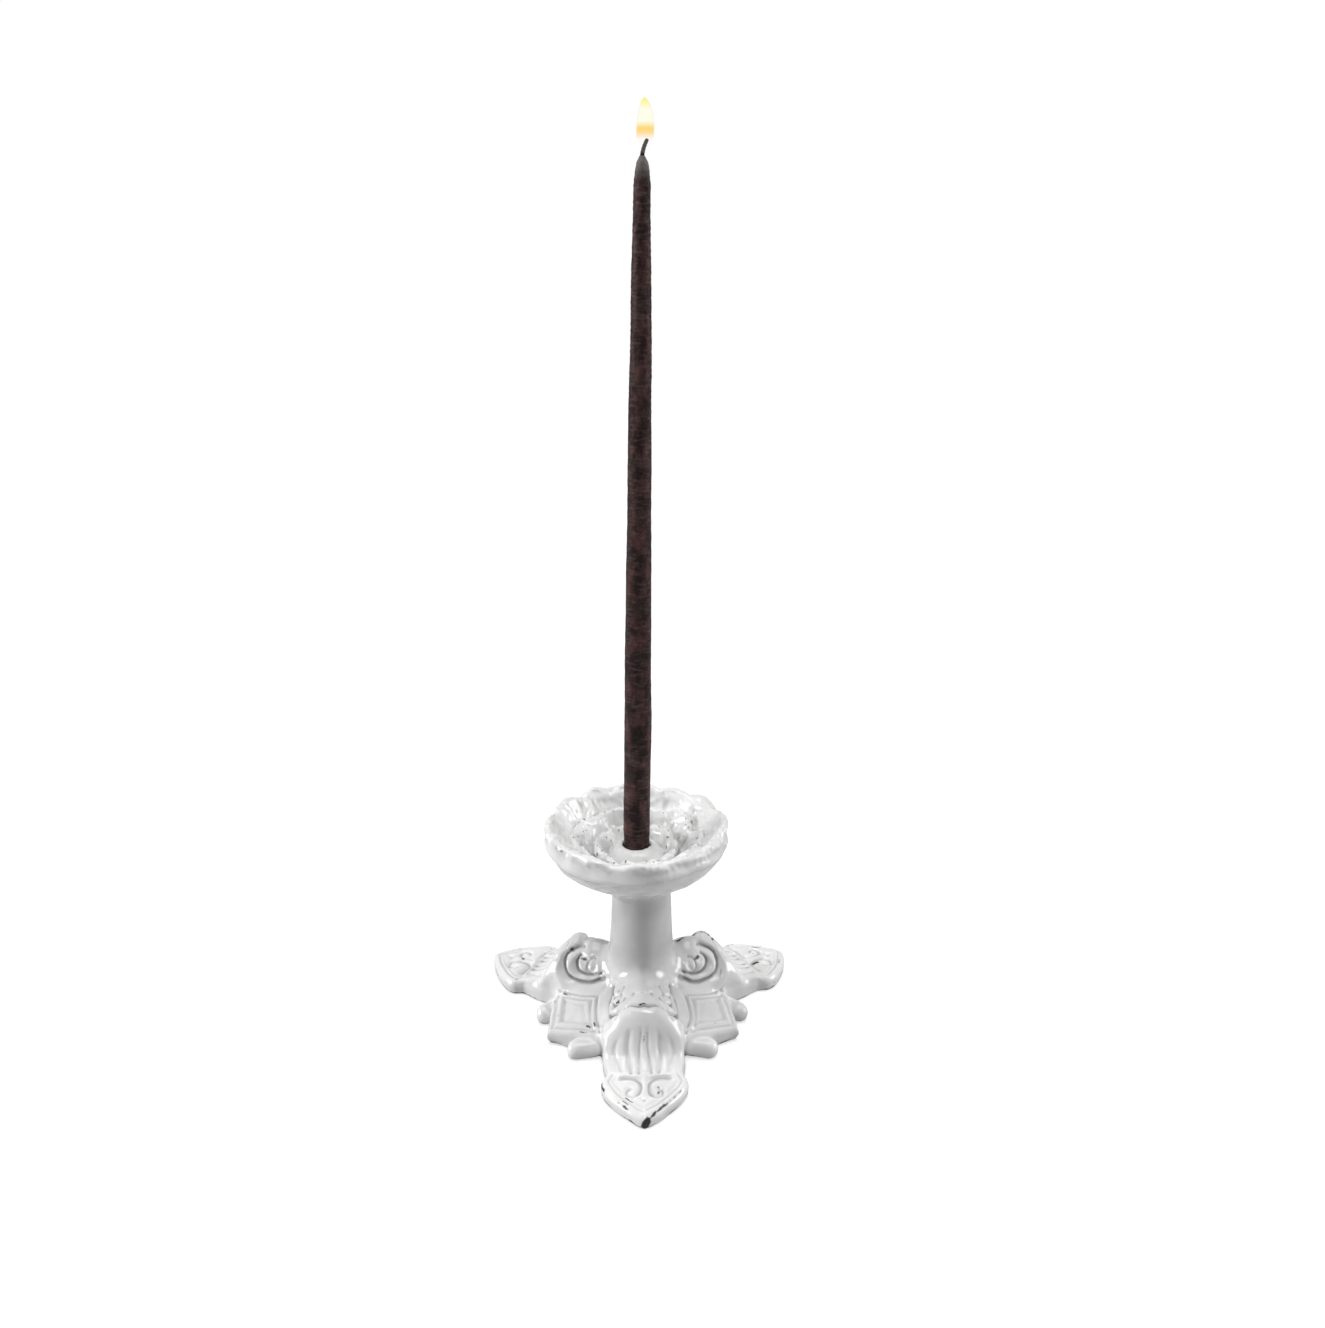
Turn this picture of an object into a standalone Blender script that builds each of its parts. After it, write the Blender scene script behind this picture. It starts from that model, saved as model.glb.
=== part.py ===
"""Three-footed glazed candlestick with a petalled drip pan, holding one thin taper candle.

Metres, +Z up.  The origin is on the stem's axis, in the plane that the foot rests on.
The front leg points along -Y.  The clay pieces are modelled as the maker puts them together:
a turned stem, three scroll legs, three panels between them, a drip pan, three petal rings
and a candle socket.  The candle is a second body, which lifts out along +Z.
"""

import math

import bmesh
import bpy

# ---------------------------------------------------------------- driving dimensions
GAP = 0.0003  # left between pieces that touch
TURN_STEPS = 48  # facets round a turned piece
BELOW = -0.0020  # foot shapes start below the resting plane, and are trimmed at it

# foot
LEG_ANGLES = {"leg_front": -90, "leg_right": 30, "leg_left": 150}
PANEL_ANGLES = {"panel_right": -30, "panel_rear": 90, "panel_left": 210}
LEG_HALF_ANGLE = math.radians(29)  # a leg's share of the foot, each side of its axis
PANEL_HALF_ANGLE = math.radians(60) - LEG_HALF_ANGLE
TOE_REACH = 0.0850  # from the stem's axis to a toe's point
TOE_HALF_WIDTH = 0.0188
TOE_THICKNESS = 0.0070
NECK_REACH = 0.0573  # where the leg is narrowest, behind the toe
NECK_HALF_WIDTH = 0.0166
SCROLL_HALF_WIDTH = 0.0195
SCROLL_CREST = 0.0314
FLARE_HEIGHT = 0.0410  # where the foot's flare ends and the plain stem begins
FLARE_RADIUS = 0.0150
PANEL_REACH = 0.0515
EAR_REACH = 0.0440  # the ear's centre along the panel's axis
EAR_OFFSET = 0.0155  # and to each side of it
EAR_RADIUS = 0.0052

# stem
STEM_HEIGHT = 0.0660
STEM_TOP_RADIUS = 0.0139
SPIGOT_RADIUS = 0.0120  # the part of the stem that runs down inside the foot
STEM_BORE_RADIUS = 0.0080
STEM_FLOOR = 0.0080

# pan, petals and socket
PAN_SHIFT = -0.0024  # the hand-set pan stands this far off the stem's axis, along X
PAN_FLOOR = 0.0717
RIM_RADIUS = 0.0423
RIM_CREST = 0.1002
MIDDLE_CREST = 0.0952
INNER_CREST = 0.0884
SOCKET_RADIUS = 0.0115
SOCKET_TOP = 0.0892

# candle
CANDLE_BASE_RADIUS = 0.0060
CANDLE_TOP_RADIUS = 0.0036
CANDLE_BOTTOM = PAN_FLOOR + GAP
CANDLE_SHOULDER = 0.3720  # where the burnt cone begins
CANDLE_TIP = 0.3840
WICK_RADIUS = 0.00075
WICK_TOP = 0.3895
WICK_BOTTOM = 0.0755

GLAZE = ((0.86, 0.86, 0.855), 0.15)
WAX = ((0.055, 0.040, 0.043), 0.55)
CHAR = ((0.015, 0.013, 0.013), 0.90)


# ---------------------------------------------------------------- helpers
def clear_scene():
    """Start from an empty scene with one collection for the parts and one for the cutters."""
    for obj in list(bpy.data.objects):
        bpy.data.objects.remove(obj, do_unlink=True)
    made = {}
    for name in ("candlestick", "cutters"):
        old = bpy.data.collections.get(name)
        if old:
            bpy.data.collections.remove(old)
        made[name] = bpy.data.collections.new(name)
        bpy.context.scene.collection.children.link(made[name])
    return made


def finish_material(obj, look):
    """Give the object its own Principled material."""
    colour, roughness = look
    material = bpy.data.materials.new(obj.name + "_finish")
    material.use_nodes = True
    shader = material.node_tree.nodes["Principled BSDF"]
    shader.inputs["Base Color"].default_value = (*colour, 1.0)
    shader.inputs["Roughness"].default_value = roughness
    shader.inputs["Metallic"].default_value = 0.0
    material.diffuse_color = (*colour, 1.0)
    obj.data.materials.clear()
    obj.data.materials.append(material)


def link(name, data, collection):
    obj = bpy.data.objects.new(name, data)
    collection.objects.link(obj)
    return obj


def make_cutter(obj):
    """Cutters are drawn as wire and left out of the built part."""
    obj.hide_render = True
    obj.display_type = "WIRE"
    return obj


def baked(obj, collection):
    """Replace an object by a plain mesh of its evaluated shape in place, closed, facing out."""
    bpy.context.view_layer.update()
    depsgraph = bpy.context.evaluated_depsgraph_get()
    mesh = bpy.data.meshes.new_from_object(obj.evaluated_get(depsgraph))
    name = obj.name
    mesh.transform(obj.matrix_world)
    bpy.data.objects.remove(obj, do_unlink=True)
    bm = bmesh.new()
    bm.from_mesh(mesh)
    bmesh.ops.remove_doubles(bm, verts=bm.verts, dist=1e-7)
    bmesh.ops.recalc_face_normals(bm, faces=bm.faces)
    bm.to_mesh(mesh)
    bm.free()
    return link(name, mesh, collection)


def turned(name, profile, collection, closed=False):
    """Turn a list of (radius, height) points about Z with a Screw modifier."""
    mesh = bpy.data.meshes.new(name)
    points = [(radius, 0.0, height) for radius, height in profile]
    edges = [(i, i + 1) for i in range(len(points) - 1)]
    if closed:
        edges.append((len(points) - 1, 0))
    mesh.from_pydata(points, edges, [])
    obj = link(name, mesh, collection)
    screw = obj.modifiers.new("turn", "SCREW")
    screw.axis = "Z"
    screw.angle = 2 * math.pi
    screw.steps = TURN_STEPS
    screw.render_steps = TURN_STEPS
    screw.use_merge_vertices = True
    screw.merge_threshold = 1e-6
    return obj


def prism(name, outline, low, high, collection):
    """A flat outline in XY, filled and extruded from one height to another."""
    curve = bpy.data.curves.new(name, "CURVE")
    curve.dimensions = "2D"
    curve.fill_mode = "BOTH"
    curve.extrude = (high - low) / 2
    spline = curve.splines.new("POLY")
    spline.points.add(len(outline) - 1)
    for point, (x, y) in zip(spline.points, outline):
        point.co = (x, y, 0.0, 1.0)
    spline.use_cyclic_u = True
    obj = link(name, curve, collection)
    obj.location.z = (low + high) / 2
    return baked(obj, collection)


def combine(target, other, operation):
    """Add an exact Boolean to the target, with the other object as its cutter."""
    boolean = target.modifiers.new(other.name, "BOOLEAN")
    boolean.operation = operation
    boolean.solver = "EXACT"
    boolean.object = make_cutter(other)


def mirrored(points):
    """Close a half outline, given from the axis outwards on +Y, with its mirror image."""
    return points + [(x, -y) for x, y in reversed(points) if y > 0]


def arc(centre, radius, start, end, steps):
    """Points along an arc, with its angles in degrees."""
    angles = [math.radians(start + (end - start) * i / steps) for i in range(steps + 1)]
    return [(centre[0] + radius * math.cos(a), centre[1] + radius * math.sin(a)) for a in angles]


def shade(obj):
    obj.data.shade_smooth()
    obj.data.set_sharp_from_angle(angle=math.radians(35))


# ---------------------------------------------------------------- foot
def apron(name, collection):
    """The foot's turned form: a flare under the stem that slopes out to a thin edge."""
    profile = [
        (0.0, FLARE_HEIGHT),
        (FLARE_RADIUS, FLARE_HEIGHT),
        (0.0156, 0.0300),
        (0.0166, 0.0236),
        (0.0189, 0.0193),
        (0.0228, 0.0169),
        (0.0290, 0.0148),
        (0.0360, 0.0122),
        (0.0430, 0.0096),
        (0.0520, 0.0070),
        (0.0600, 0.0056),
        (0.0600, BELOW),
        (0.0, BELOW),
    ]
    return baked(turned(name, profile, collection), collection)


def underside_channel(collection):
    """A ring hollowed out from below, so that the clay is nowhere thick."""
    low = -0.0050
    profile = [
        (0.0160, 0.0160),
        (0.0200, 0.0150),
        (0.0240, 0.0120),
        (0.0300, 0.0060),
        (0.0300, low),
        (0.0160, low),
    ]
    return baked(turned("underside_channel", profile, collection, closed=True), collection)


def spigot_hole(collection):
    """The hole up the middle of the foot, which the stem's spigot fills."""
    low, high = -0.0050, 0.0600
    radius = SPIGOT_RADIUS + GAP
    profile = [(0.0, high), (radius, high), (radius, low), (0.0, low)]
    return baked(turned("spigot_hole", profile, collection), collection)


def wedge(name, half_angle, reach, collection):
    """A tall wedge about +X, half a gap inside the two planes that it shares."""
    tip = GAP / 2 / math.sin(half_angle)
    side = (tip + reach * math.cos(half_angle), reach * math.sin(half_angle))
    outline = mirrored([(tip, 0.0), side])
    return prism(name, outline, 0.0, 0.0600, collection)


def leg_plan():
    """The leg seen from above: scroll, neck and spade-shaped toe."""
    return mirrored(
        [
            (0.0050, 0.0),
            (0.0050, SCROLL_HALF_WIDTH),
            (0.0300, SCROLL_HALF_WIDTH),
            (0.0360, 0.0186),
            (0.0480, 0.0179),
            (0.0540, 0.0169),
            (NECK_REACH, NECK_HALF_WIDTH),
            (0.0594, 0.0176),
            (0.0615, TOE_HALF_WIDTH),
            (0.0640, 0.0185),
            (0.0670, 0.0171),
            (0.0700, 0.0151),
            (0.0780, 0.0085),
            (TOE_REACH, 0.0),
        ]
    )


def leg_side():
    """The leg seen from the side, as (distance from the axis, height)."""
    return [
        (0.0040, 2 * BELOW),
        (0.0900, 2 * BELOW),
        (0.0900, TOE_THICKNESS - 0.0010),
        (0.0620, TOE_THICKNESS + 0.0003),
        (0.0580, 0.0080),
        (0.0546, 0.0096),
        (0.0512, 0.0122),
        (0.0484, 0.0156),
        (0.0460, 0.0194),
        (0.0438, 0.0232),
        (0.0414, 0.0264),
        (0.0382, 0.0292),
        (0.0345, 0.0308),
        (0.0300, SCROLL_CREST),
        (0.0040, SCROLL_CREST),
    ]


def leg_across():
    """The scroll seen from the end, as (height, half width): a rounded crest over sloping flanks."""
    return mirrored(
        [
            (2 * BELOW, 0.0),
            (2 * BELOW, 0.0300),
            (0.0095, 0.0300),
            (0.0110, 0.0210),
            (0.0183, 0.0164),
            (0.0256, 0.0118),
            (0.0288, 0.0090),
            (0.0306, 0.0055),
            (0.0320, 0.0),
        ]
    )


def scroll(name, cutters):
    """The bare scroll, neck and toe of one leg along +X."""
    solid = prism(name, leg_plan(), BELOW, 0.0600, cutters)
    side = prism(name + "_side", leg_side(), -0.0300, 0.0300, cutters)
    side.rotation_euler.x = math.pi / 2
    combine(solid, side, "INTERSECT")
    across = prism(name + "_across", leg_across(), -0.0900, 0.0, cutters)
    across.rotation_euler.y = -math.pi / 2
    combine(solid, across, "INTERSECT")
    return baked(solid, cutters)


def leg_mesh(parts, cutters):
    """One scroll leg along +X, with its share of the flare."""
    leg = baked(scroll("leg", cutters), parts)
    root = apron("leg_root", cutters)
    shoulder = (0.0364, 0.0201)
    reach_plan = mirrored([(0.0, 0.0), shoulder, (0.0400, 0.0172), (0.0460, 0.0140)])
    combine(root, prism("root_plan", reach_plan, 2 * BELOW, 0.0600, cutters), "INTERSECT")
    combine(leg, root, "UNION")

    combine(leg, wedge("leg_wedge", LEG_HALF_ANGLE, 0.1200, cutters), "INTERSECT")
    combine(leg, spigot_hole(cutters), "DIFFERENCE")
    combine(leg, underside_channel(cutters), "DIFFERENCE")
    return leg


def panel_plan():
    """The panel seen from above: a pointed kite with a rounded ear at each side."""
    tip = GAP / 2 / math.sin(PANEL_HALF_ANGLE)
    root_reach = 0.0412
    root = (
        tip + root_reach * math.cos(PANEL_HALF_ANGLE),
        root_reach * math.sin(PANEL_HALF_ANGLE),
    )
    ear = arc((EAR_REACH, EAR_OFFSET), EAR_RADIUS, 95, -75, 10)
    half = [(tip, 0.0), root, (0.0375, 0.0190), *ear, (0.0452, 0.0084), (PANEL_REACH, 0.0)]
    return mirrored(half)


def panel_mesh(parts, cutters):
    """One panel along +X: its share of the flare, and the edges of the scrolls that run onto it."""
    panel = apron("panel", parts)
    for side in (1, -1):
        neighbour = scroll("panel_scroll", cutters)
        neighbour.rotation_euler.z = side * math.radians(60)
        combine(panel, neighbour, "UNION")
    combine(panel, prism("panel_plan", panel_plan(), 0.0, 0.0600, cutters), "INTERSECT")
    combine(panel, spigot_hole(cutters), "DIFFERENCE")
    combine(panel, underside_channel(cutters), "DIFFERENCE")
    return panel


def place_round(pattern, angles, parts):
    """Share one baked mesh between objects turned to each of the given angles."""
    solid = baked(pattern, parts)
    mesh = solid.data
    bpy.data.objects.remove(solid, do_unlink=True)
    for name, degrees in angles.items():
        obj = link(name, mesh.copy(), parts)
        obj.rotation_euler.z = math.radians(degrees)
        shade(obj)
        finish_material(obj, GLAZE)


# ---------------------------------------------------------------- stem, pan and petals
def stem(parts):
    """A thrown column, hollow from the top, with a spigot down through the foot."""
    profile = [
        (0.0, STEM_FLOOR),
        (STEM_BORE_RADIUS, STEM_FLOOR),
        (STEM_BORE_RADIUS, STEM_HEIGHT),
        (STEM_TOP_RADIUS, STEM_HEIGHT),
        (0.0141, 0.0560),
        (0.0145, 0.0470),
        (FLARE_RADIUS, FLARE_HEIGHT + GAP),
        (SPIGOT_RADIUS, FLARE_HEIGHT + GAP),
        (SPIGOT_RADIUS, 0.0),
        (0.0, 0.0),
    ]
    return turned("stem", profile, parts)


def drip_pan(parts):
    """A shallow turned dish on the stem, whose wall carries the petals."""
    profile = [
        (0.0, PAN_FLOOR),
        (0.0118, PAN_FLOOR),
        (0.0165, 0.0740),
        (0.0235, 0.0795),
        (0.0300, 0.0852),
        (0.0365, 0.0906),
        (0.0402, 0.0888),
        (0.0382, 0.0848),
        (0.0330, 0.0802),
        (0.0260, 0.0759),
        (0.0190, 0.0716),
        (0.0147, 0.0682),
        (STEM_TOP_RADIUS, STEM_HEIGHT + GAP),
        (0.0, STEM_HEIGHT + GAP),
    ]
    return turned("drip_pan", profile, parts)


def petal_ring(name, section, petals, rise, spread, parts):
    """A turned ring whose crest is pushed up and out once for each petal."""
    ring = baked(turned(name, section, parts, closed=True), parts)
    foot = min(height for _, height in section)
    crest = max(height for _, height in section)
    for vertex in ring.data.vertices:
        radius = math.hypot(vertex.co.x, vertex.co.y)
        angle = math.atan2(vertex.co.y, vertex.co.x)
        weight = ((vertex.co.z - foot) / (crest - foot)) ** 3
        swell = abs(math.cos(petals * angle / 2)) - 0.6
        grown = 1 + weight * spread * swell / radius
        vertex.co.x *= grown
        vertex.co.y *= grown
        vertex.co.z += weight * rise * swell
    return ring


def outer_petal_ring(parts):
    """The rolled lip of the pan, pinched into broad petals."""
    section = [
        (0.0372, 0.0984),
        (0.0395, RIM_CREST - 0.0008),
        (RIM_RADIUS - 0.0006, 0.0975),
        (RIM_RADIUS - 0.0002, 0.0940),
        (0.0406, 0.0901),
        (0.0365, 0.0911),
        (0.0304, 0.0859),
        (0.0302, 0.0886),
        (0.0345, 0.0938),
    ]
    return petal_ring("outer_petal_ring", section, 12, 0.0020, 0.0010, parts)


def middle_petal_ring(parts):
    section = [
        (0.0275, 0.0925),
        (0.0289, MIDDLE_CREST - 0.0008),
        (0.0300, 0.0938),
        (0.0298, 0.0900),
        (0.0298, 0.0855),
        (0.0235, 0.0799),
        (0.0201, 0.0772),
        (0.0199, 0.0835),
        (0.0245, 0.0875),
    ]
    return petal_ring("middle_petal_ring", section, 10, 0.0026, 0.0008, parts)


def inner_petal_ring(parts):
    section = [
        (0.0165, 0.0865),
        (0.0180, INNER_CREST - 0.0006),
        (0.0190, 0.0870),
        (0.0193, 0.0830),
        (0.0194, 0.0767),
        (0.0165, 0.0744),
        (0.0121, 0.0723),
        (0.0119, 0.0818),
        (0.0142, 0.0840),
    ]
    return petal_ring("inner_petal_ring", section, 8, 0.0020, 0.0004, parts)


def candle_socket(parts):
    """The collar that the candle stands in, on the pan's floor."""
    bore = CANDLE_BASE_RADIUS + GAP
    bottom = PAN_FLOOR + GAP
    section = [
        (bore, bottom),
        (bore, SOCKET_TOP - 0.0012),
        (bore + 0.0010, SOCKET_TOP),
        (SOCKET_RADIUS - 0.0020, SOCKET_TOP),
        (SOCKET_RADIUS, SOCKET_TOP - 0.0025),
        (SOCKET_RADIUS, bottom),
    ]
    return turned("candle_socket", section, parts, closed=True)


# ---------------------------------------------------------------- candle
def candle_wax(parts):
    """A dipped taper with a rounded butt, a burnt cone and a hole for the wick."""
    bore = WICK_RADIUS + GAP
    profile = [
        (0.0, WICK_BOTTOM - GAP),
        (bore, WICK_BOTTOM - GAP),
        (bore, CANDLE_TIP),
        (0.0017, CANDLE_TIP - 0.0004),
        (0.0027, 0.3800),
        (0.0033, 0.3755),
        (CANDLE_TOP_RADIUS, CANDLE_SHOULDER),
        (CANDLE_BASE_RADIUS, CANDLE_BOTTOM + 0.0016),
        (CANDLE_BASE_RADIUS - 0.0006, CANDLE_BOTTOM + 0.0004),
        (CANDLE_BASE_RADIUS - 0.0018, CANDLE_BOTTOM),
        (0.0, CANDLE_BOTTOM),
    ]
    return turned("candle_wax", profile, parts)


def wick(parts):
    """A cotton wick through the whole taper, its burnt end bent over towards +X."""
    straight_top = 0.3850
    bend, steps = 0.0030, 4
    curve = bpy.data.curves.new("wick", "CURVE")
    curve.dimensions = "3D"
    curve.bevel_depth = WICK_RADIUS
    curve.bevel_resolution = 2
    curve.use_fill_caps = True
    points = [(0.0, 0.0, WICK_BOTTOM), (0.0, 0.0, straight_top)]
    for i in range(1, steps + 1):
        t = i / steps
        height = straight_top + t * (WICK_TOP - WICK_RADIUS - straight_top)
        points.append((bend * t * t / 2, 0.0, height))
    spline = curve.splines.new("POLY")
    spline.points.add(len(points) - 1)
    for point, place in zip(spline.points, points):
        point.co = (*place, 1.0)
    return baked(link("wick", curve, parts), parts)


# ---------------------------------------------------------------- build
def set_on_pan(make, look, parts):
    """Make a piece about Z, then move it over with the pan."""
    piece = make(parts)
    piece.location.x = PAN_SHIFT
    shade(piece)
    finish_material(piece, look)


def main():
    collections = clear_scene()
    parts, cutters = collections["candlestick"], collections["cutters"]
    place_round(leg_mesh(parts, cutters), LEG_ANGLES, parts)
    place_round(panel_mesh(parts, cutters), PANEL_ANGLES, parts)
    finish_material(stem(parts), GLAZE)
    for make in (drip_pan, outer_petal_ring, middle_petal_ring, inner_petal_ring, candle_socket):
        set_on_pan(make, GLAZE, parts)
    set_on_pan(candle_wax, WAX, parts)
    set_on_pan(wick, CHAR, parts)


main()
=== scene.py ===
"""Looks for the three-footed glazed candlestick: hand-modelled clay under white glaze, and a burning taper.

The clay is modelled as distance fields, in millimetres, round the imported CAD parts.  Each field is
turned into a mesh on a grid, and cut into one closed piece for each CAD node.
"""

import math

import bmesh
import bpy
import numpy as np
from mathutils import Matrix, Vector


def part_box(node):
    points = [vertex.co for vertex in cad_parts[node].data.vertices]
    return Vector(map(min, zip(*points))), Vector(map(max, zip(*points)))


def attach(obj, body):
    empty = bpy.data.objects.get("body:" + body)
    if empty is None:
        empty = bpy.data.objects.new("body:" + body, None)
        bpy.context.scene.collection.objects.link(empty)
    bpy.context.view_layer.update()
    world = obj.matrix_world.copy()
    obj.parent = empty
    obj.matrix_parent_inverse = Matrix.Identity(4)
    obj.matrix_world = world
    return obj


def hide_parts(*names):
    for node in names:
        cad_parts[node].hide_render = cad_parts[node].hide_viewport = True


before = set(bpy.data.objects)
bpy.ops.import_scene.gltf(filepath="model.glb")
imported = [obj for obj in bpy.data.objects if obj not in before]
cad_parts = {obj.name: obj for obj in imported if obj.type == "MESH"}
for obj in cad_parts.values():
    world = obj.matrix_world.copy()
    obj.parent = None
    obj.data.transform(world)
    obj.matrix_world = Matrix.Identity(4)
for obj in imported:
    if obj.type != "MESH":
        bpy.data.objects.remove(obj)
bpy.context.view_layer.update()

MM = 0.001
FOOT_STEP = 0.5
CUP_STEP = 0.46


def centre_mm(node):
    low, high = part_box(node)
    return np.array((low + high) / 2) / MM


def top_mm(node):
    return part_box(node)[1].z / MM


PAN_X = float(centre_mm("drip_pan")[0])  # the pan stands a little off the stem's axis
STEM_TOP = top_mm("stem")
STEM_SEAM = STEM_TOP + 0.15  # the plane between the stem and the drip pan
STEM_LIMIT = 72.0  # above this the stem is inside the pan, and is left out
FLARE_TOP = 41.15  # the plane between the foot and the stem
SPIGOT_HOLE, SPIGOT_HOLE_TOP = 12.15, 45.0
SOCKET_TOP = top_mm("candle_socket")
SOCKET_BORE, SOCKET_FLOOR = 6.3, 72.0


# ---------------------------------------------------------------- fields
def smin(a, b, k):
    h = np.clip(0.5 + 0.5 * (b - a) / k, 0, 1)
    return b * (1 - h) + a * h - k * h * (1 - h)


def smax(a, b, k):
    return -smin(-a, -b, k)


def step01(a, b, x):
    t = np.clip((x - a) / (b - a), 0, 1)
    return t * t * (3 - 2 * t)


def bell(x, width):
    """1 on a line and falling smoothly to 0 beside it."""
    return np.exp(-((x / width) ** 2))


def wave(x, y, z, length, seed):
    """Smooth unevenness of about -1 to 1, with the given wavelength."""
    rng = np.random.default_rng(seed)
    total = 0.0
    for _ in range(5):
        d = rng.normal(size=3)
        d *= 2 * math.pi / (np.linalg.norm(d) * length * rng.uniform(0.75, 1.35))
        total = total + np.sin(x * d[0] + y * d[1] + z * d[2] + rng.uniform(0, 6.28))
    return total / 2.6


def curve_through(points, per=8):
    """Catmull-Rom curve through the points."""
    p = np.array(points, float)
    p = np.vstack([2 * p[0] - p[1], p, 2 * p[-1] - p[-2]])
    t = np.linspace(0, 1, per, endpoint=False)[:, None]
    out = []
    for i in range(1, len(p) - 2):
        a, b, c, d = p[i - 1 : i + 3]
        bow, twist = 2 * a - 5 * b + 4 * c - d, 3 * b - a - 3 * c + d
        out.append(0.5 * (2 * b + (c - a) * t + bow * t**2 + twist * t**3))
    return np.vstack([*out, p[-2:-1]])


def to_segments(px, py, points, closed=False):
    """Distance to a polyline, and how far along it the nearest point is."""
    p = np.array(points, float)
    q = np.roll(p, -1, axis=0) if closed else p[1:]
    p = p if closed else p[:-1]
    best = np.full(px.shape, 1e9)
    along = np.zeros(px.shape)
    run = 0.0
    for (ax, ay), (bx, by) in zip(p, q):
        dx, dy = bx - ax, by - ay
        length = math.hypot(dx, dy)
        if length < 1e-9:
            continue
        t = np.clip(((px - ax) * dx + (py - ay) * dy) / length**2, 0, 1)
        d = np.hypot(px - ax - t * dx, py - ay - t * dy)
        near = d < best
        best = np.where(near, d, best)
        along = np.where(near, run + t * length, along)
        run += length
    return best, along


def inside_polygon(px, py, points):
    p = np.array(points, float)
    q = np.roll(p, -1, axis=0)
    inside = np.zeros(px.shape, bool)
    for (ax, ay), (bx, by) in zip(p, q):
        if ay == by:
            continue
        hit = (ay > py) != (by > py)
        inside ^= hit & (px < ax + (py - ay) * (bx - ax) / (by - ay))
    return inside


class Table:
    """A function of two coordinates, kept on a fine grid and read back by interpolation."""

    def __init__(self, low, high, step, function):
        self.low, self.step = np.array(low, float), step
        nx, ny = (int((high[i] - low[i]) / step) + 2 for i in (0, 1))
        gx, gy = np.meshgrid(low[0] + step * np.arange(nx), low[1] + step * np.arange(ny), indexing="ij")
        self.values = np.asarray(function(gx, gy), np.float32)
        self.shape = self.values.shape

    def __call__(self, a, b):
        fa = np.clip((a - self.low[0]) / self.step, 0, self.shape[0] - 1.001)
        fb = np.clip((b - self.low[1]) / self.step, 0, self.shape[1] - 1.001)
        ia, ib = fa.astype(np.int32), fb.astype(np.int32)
        fa, fb = fa - ia, fb - ib
        flat = self.values.ravel()
        at = ia * self.shape[1] + ib
        v = flat[at] * (1 - fa) * (1 - fb) + flat[at + self.shape[1]] * fa * (1 - fb)
        return v + flat[at + 1] * (1 - fa) * fb + flat[at + self.shape[1] + 1] * fa * fb


def outline_table(low, high, step, points):
    """Signed distance to a closed outline, negative inside."""

    def function(a, b):
        d, _ = to_segments(a, b, points, closed=True)
        return np.where(inside_polygon(a, b, points), -d, d)

    return Table(low, high, step, function)


def stroke(a, b, points, width, ends=None):
    """How strongly a point lies on a drawn line, 0 to 1.

    With ends, the line fades in and out over that length.
    """
    line = curve_through(points) if len(points) > 2 else np.array(points, float)
    d, along = to_segments(a, b, line)
    mark = bell(d, width)
    if ends:
        total = np.hypot(*np.diff(line, axis=0).T).sum()
        mark = mark * np.clip(0.25 + along / ends, 0, 1) * np.clip(0.25 + (total - along) / ends, 0, 1)
    return mark


# ---------------------------------------------------------------- foot
# Each leg is drawn in its own frame: u outwards from the stem's axis, v across, z up.
# The panels lie between the legs: w outwards along the panel's axis, t across.
COS60, SIN60 = 0.5, math.sqrt(0.75)
# A leg's top from the side, as u and z, and its outline from above, as u and v
LEG_SIDE = [
    (10.0, 34.0), (16.0, 32.0), (20.0, 30.8), (26.0, 31.2), (30.5, 30.3), (34.3, 30.7), (38.2, 29.0),
    (41.4, 26.6), (43.8, 23.4), (46, 19.4), (48.4, 15.6), (51.2, 12.2), (54.6, 9.6), (58, 8.0), (62, 7.3),
    (68, 7.0), (76, 6.7), (86, 6.2),
]
TOE_TIP = 85.0
LEG_PLAN = [
    (20, 19.5), (30, 19.5), (36, 18.6), (41, 18.0), (46, 18.0), (50, 17.6), (54, 16.9), (57.3, 16.6),
    (59.4, 17.6), (61.5, 18.8), (64, 18.7), (67, 17.6), (70, 16.0), (73, 13.9), (76, 11.4), (79, 8.5),
    (82, 5.1), (84, 2.4), (TOE_TIP, 0.0),
]
# A scroll's half width, against the height
FLANK = (
    [-1, 8, 11, 14, 16, 18.3, 21.5, 25.6, 28, 29.6, 31, 36],
    [34, 34, 21.0, 18.9, 17.8, 16.2, 13.8, 10.6, 8.4, 6.6, 4.8, 0],
)
# The flare from the stem to the panels, as distance from the axis and height
FLARE = [
    (13.0, 50), (14.2, 40), (14.9, 33), (15.6, 27.5), (16.8, 22.8), (19.0, 19.3), (22.8, 16.9), (29, 14.8),
    (36, 12.2), (43, 9.5), (52, 6.8), (62, 4.6),
]


def panel_to_leg(w, t):
    """A point of the panel's frame in the leg's frame."""
    return (w * COS60 + t * SIN60, w * SIN60 - t * COS60)


side_line = curve_through(LEG_SIDE, 6)
side_polygon = np.vstack([side_line, [(95, 6.2), (95, -30), (0, -30), (0, 33.6)]])
leg_side = outline_table((-2, -6), (96, 46), 0.35, side_polygon)
leg_along = Table((8, -2), (92, 46), 0.35, lambda u, z: to_segments(u, z, side_line)[1])
plan_line = curve_through(LEG_PLAN, 6)
plan_polygon = np.vstack([[(-5, 15.0)], plan_line, plan_line[::-1] * [1, -1], [(-5, -15.0)]])
leg_plan = outline_table((-2, -2), (96, 60), 0.35, plan_polygon)
side_u = side_line[:, 0]
side_s = np.concatenate([[0], np.cumsum(np.hypot(*np.diff(side_line, axis=0).T))])


def s_at(u):
    """How far along the leg's top a distance from the axis is."""
    return float(np.interp(u, side_u, side_s))


def on_top(points):
    return [(s_at(u), v) for u, v in points]


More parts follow.
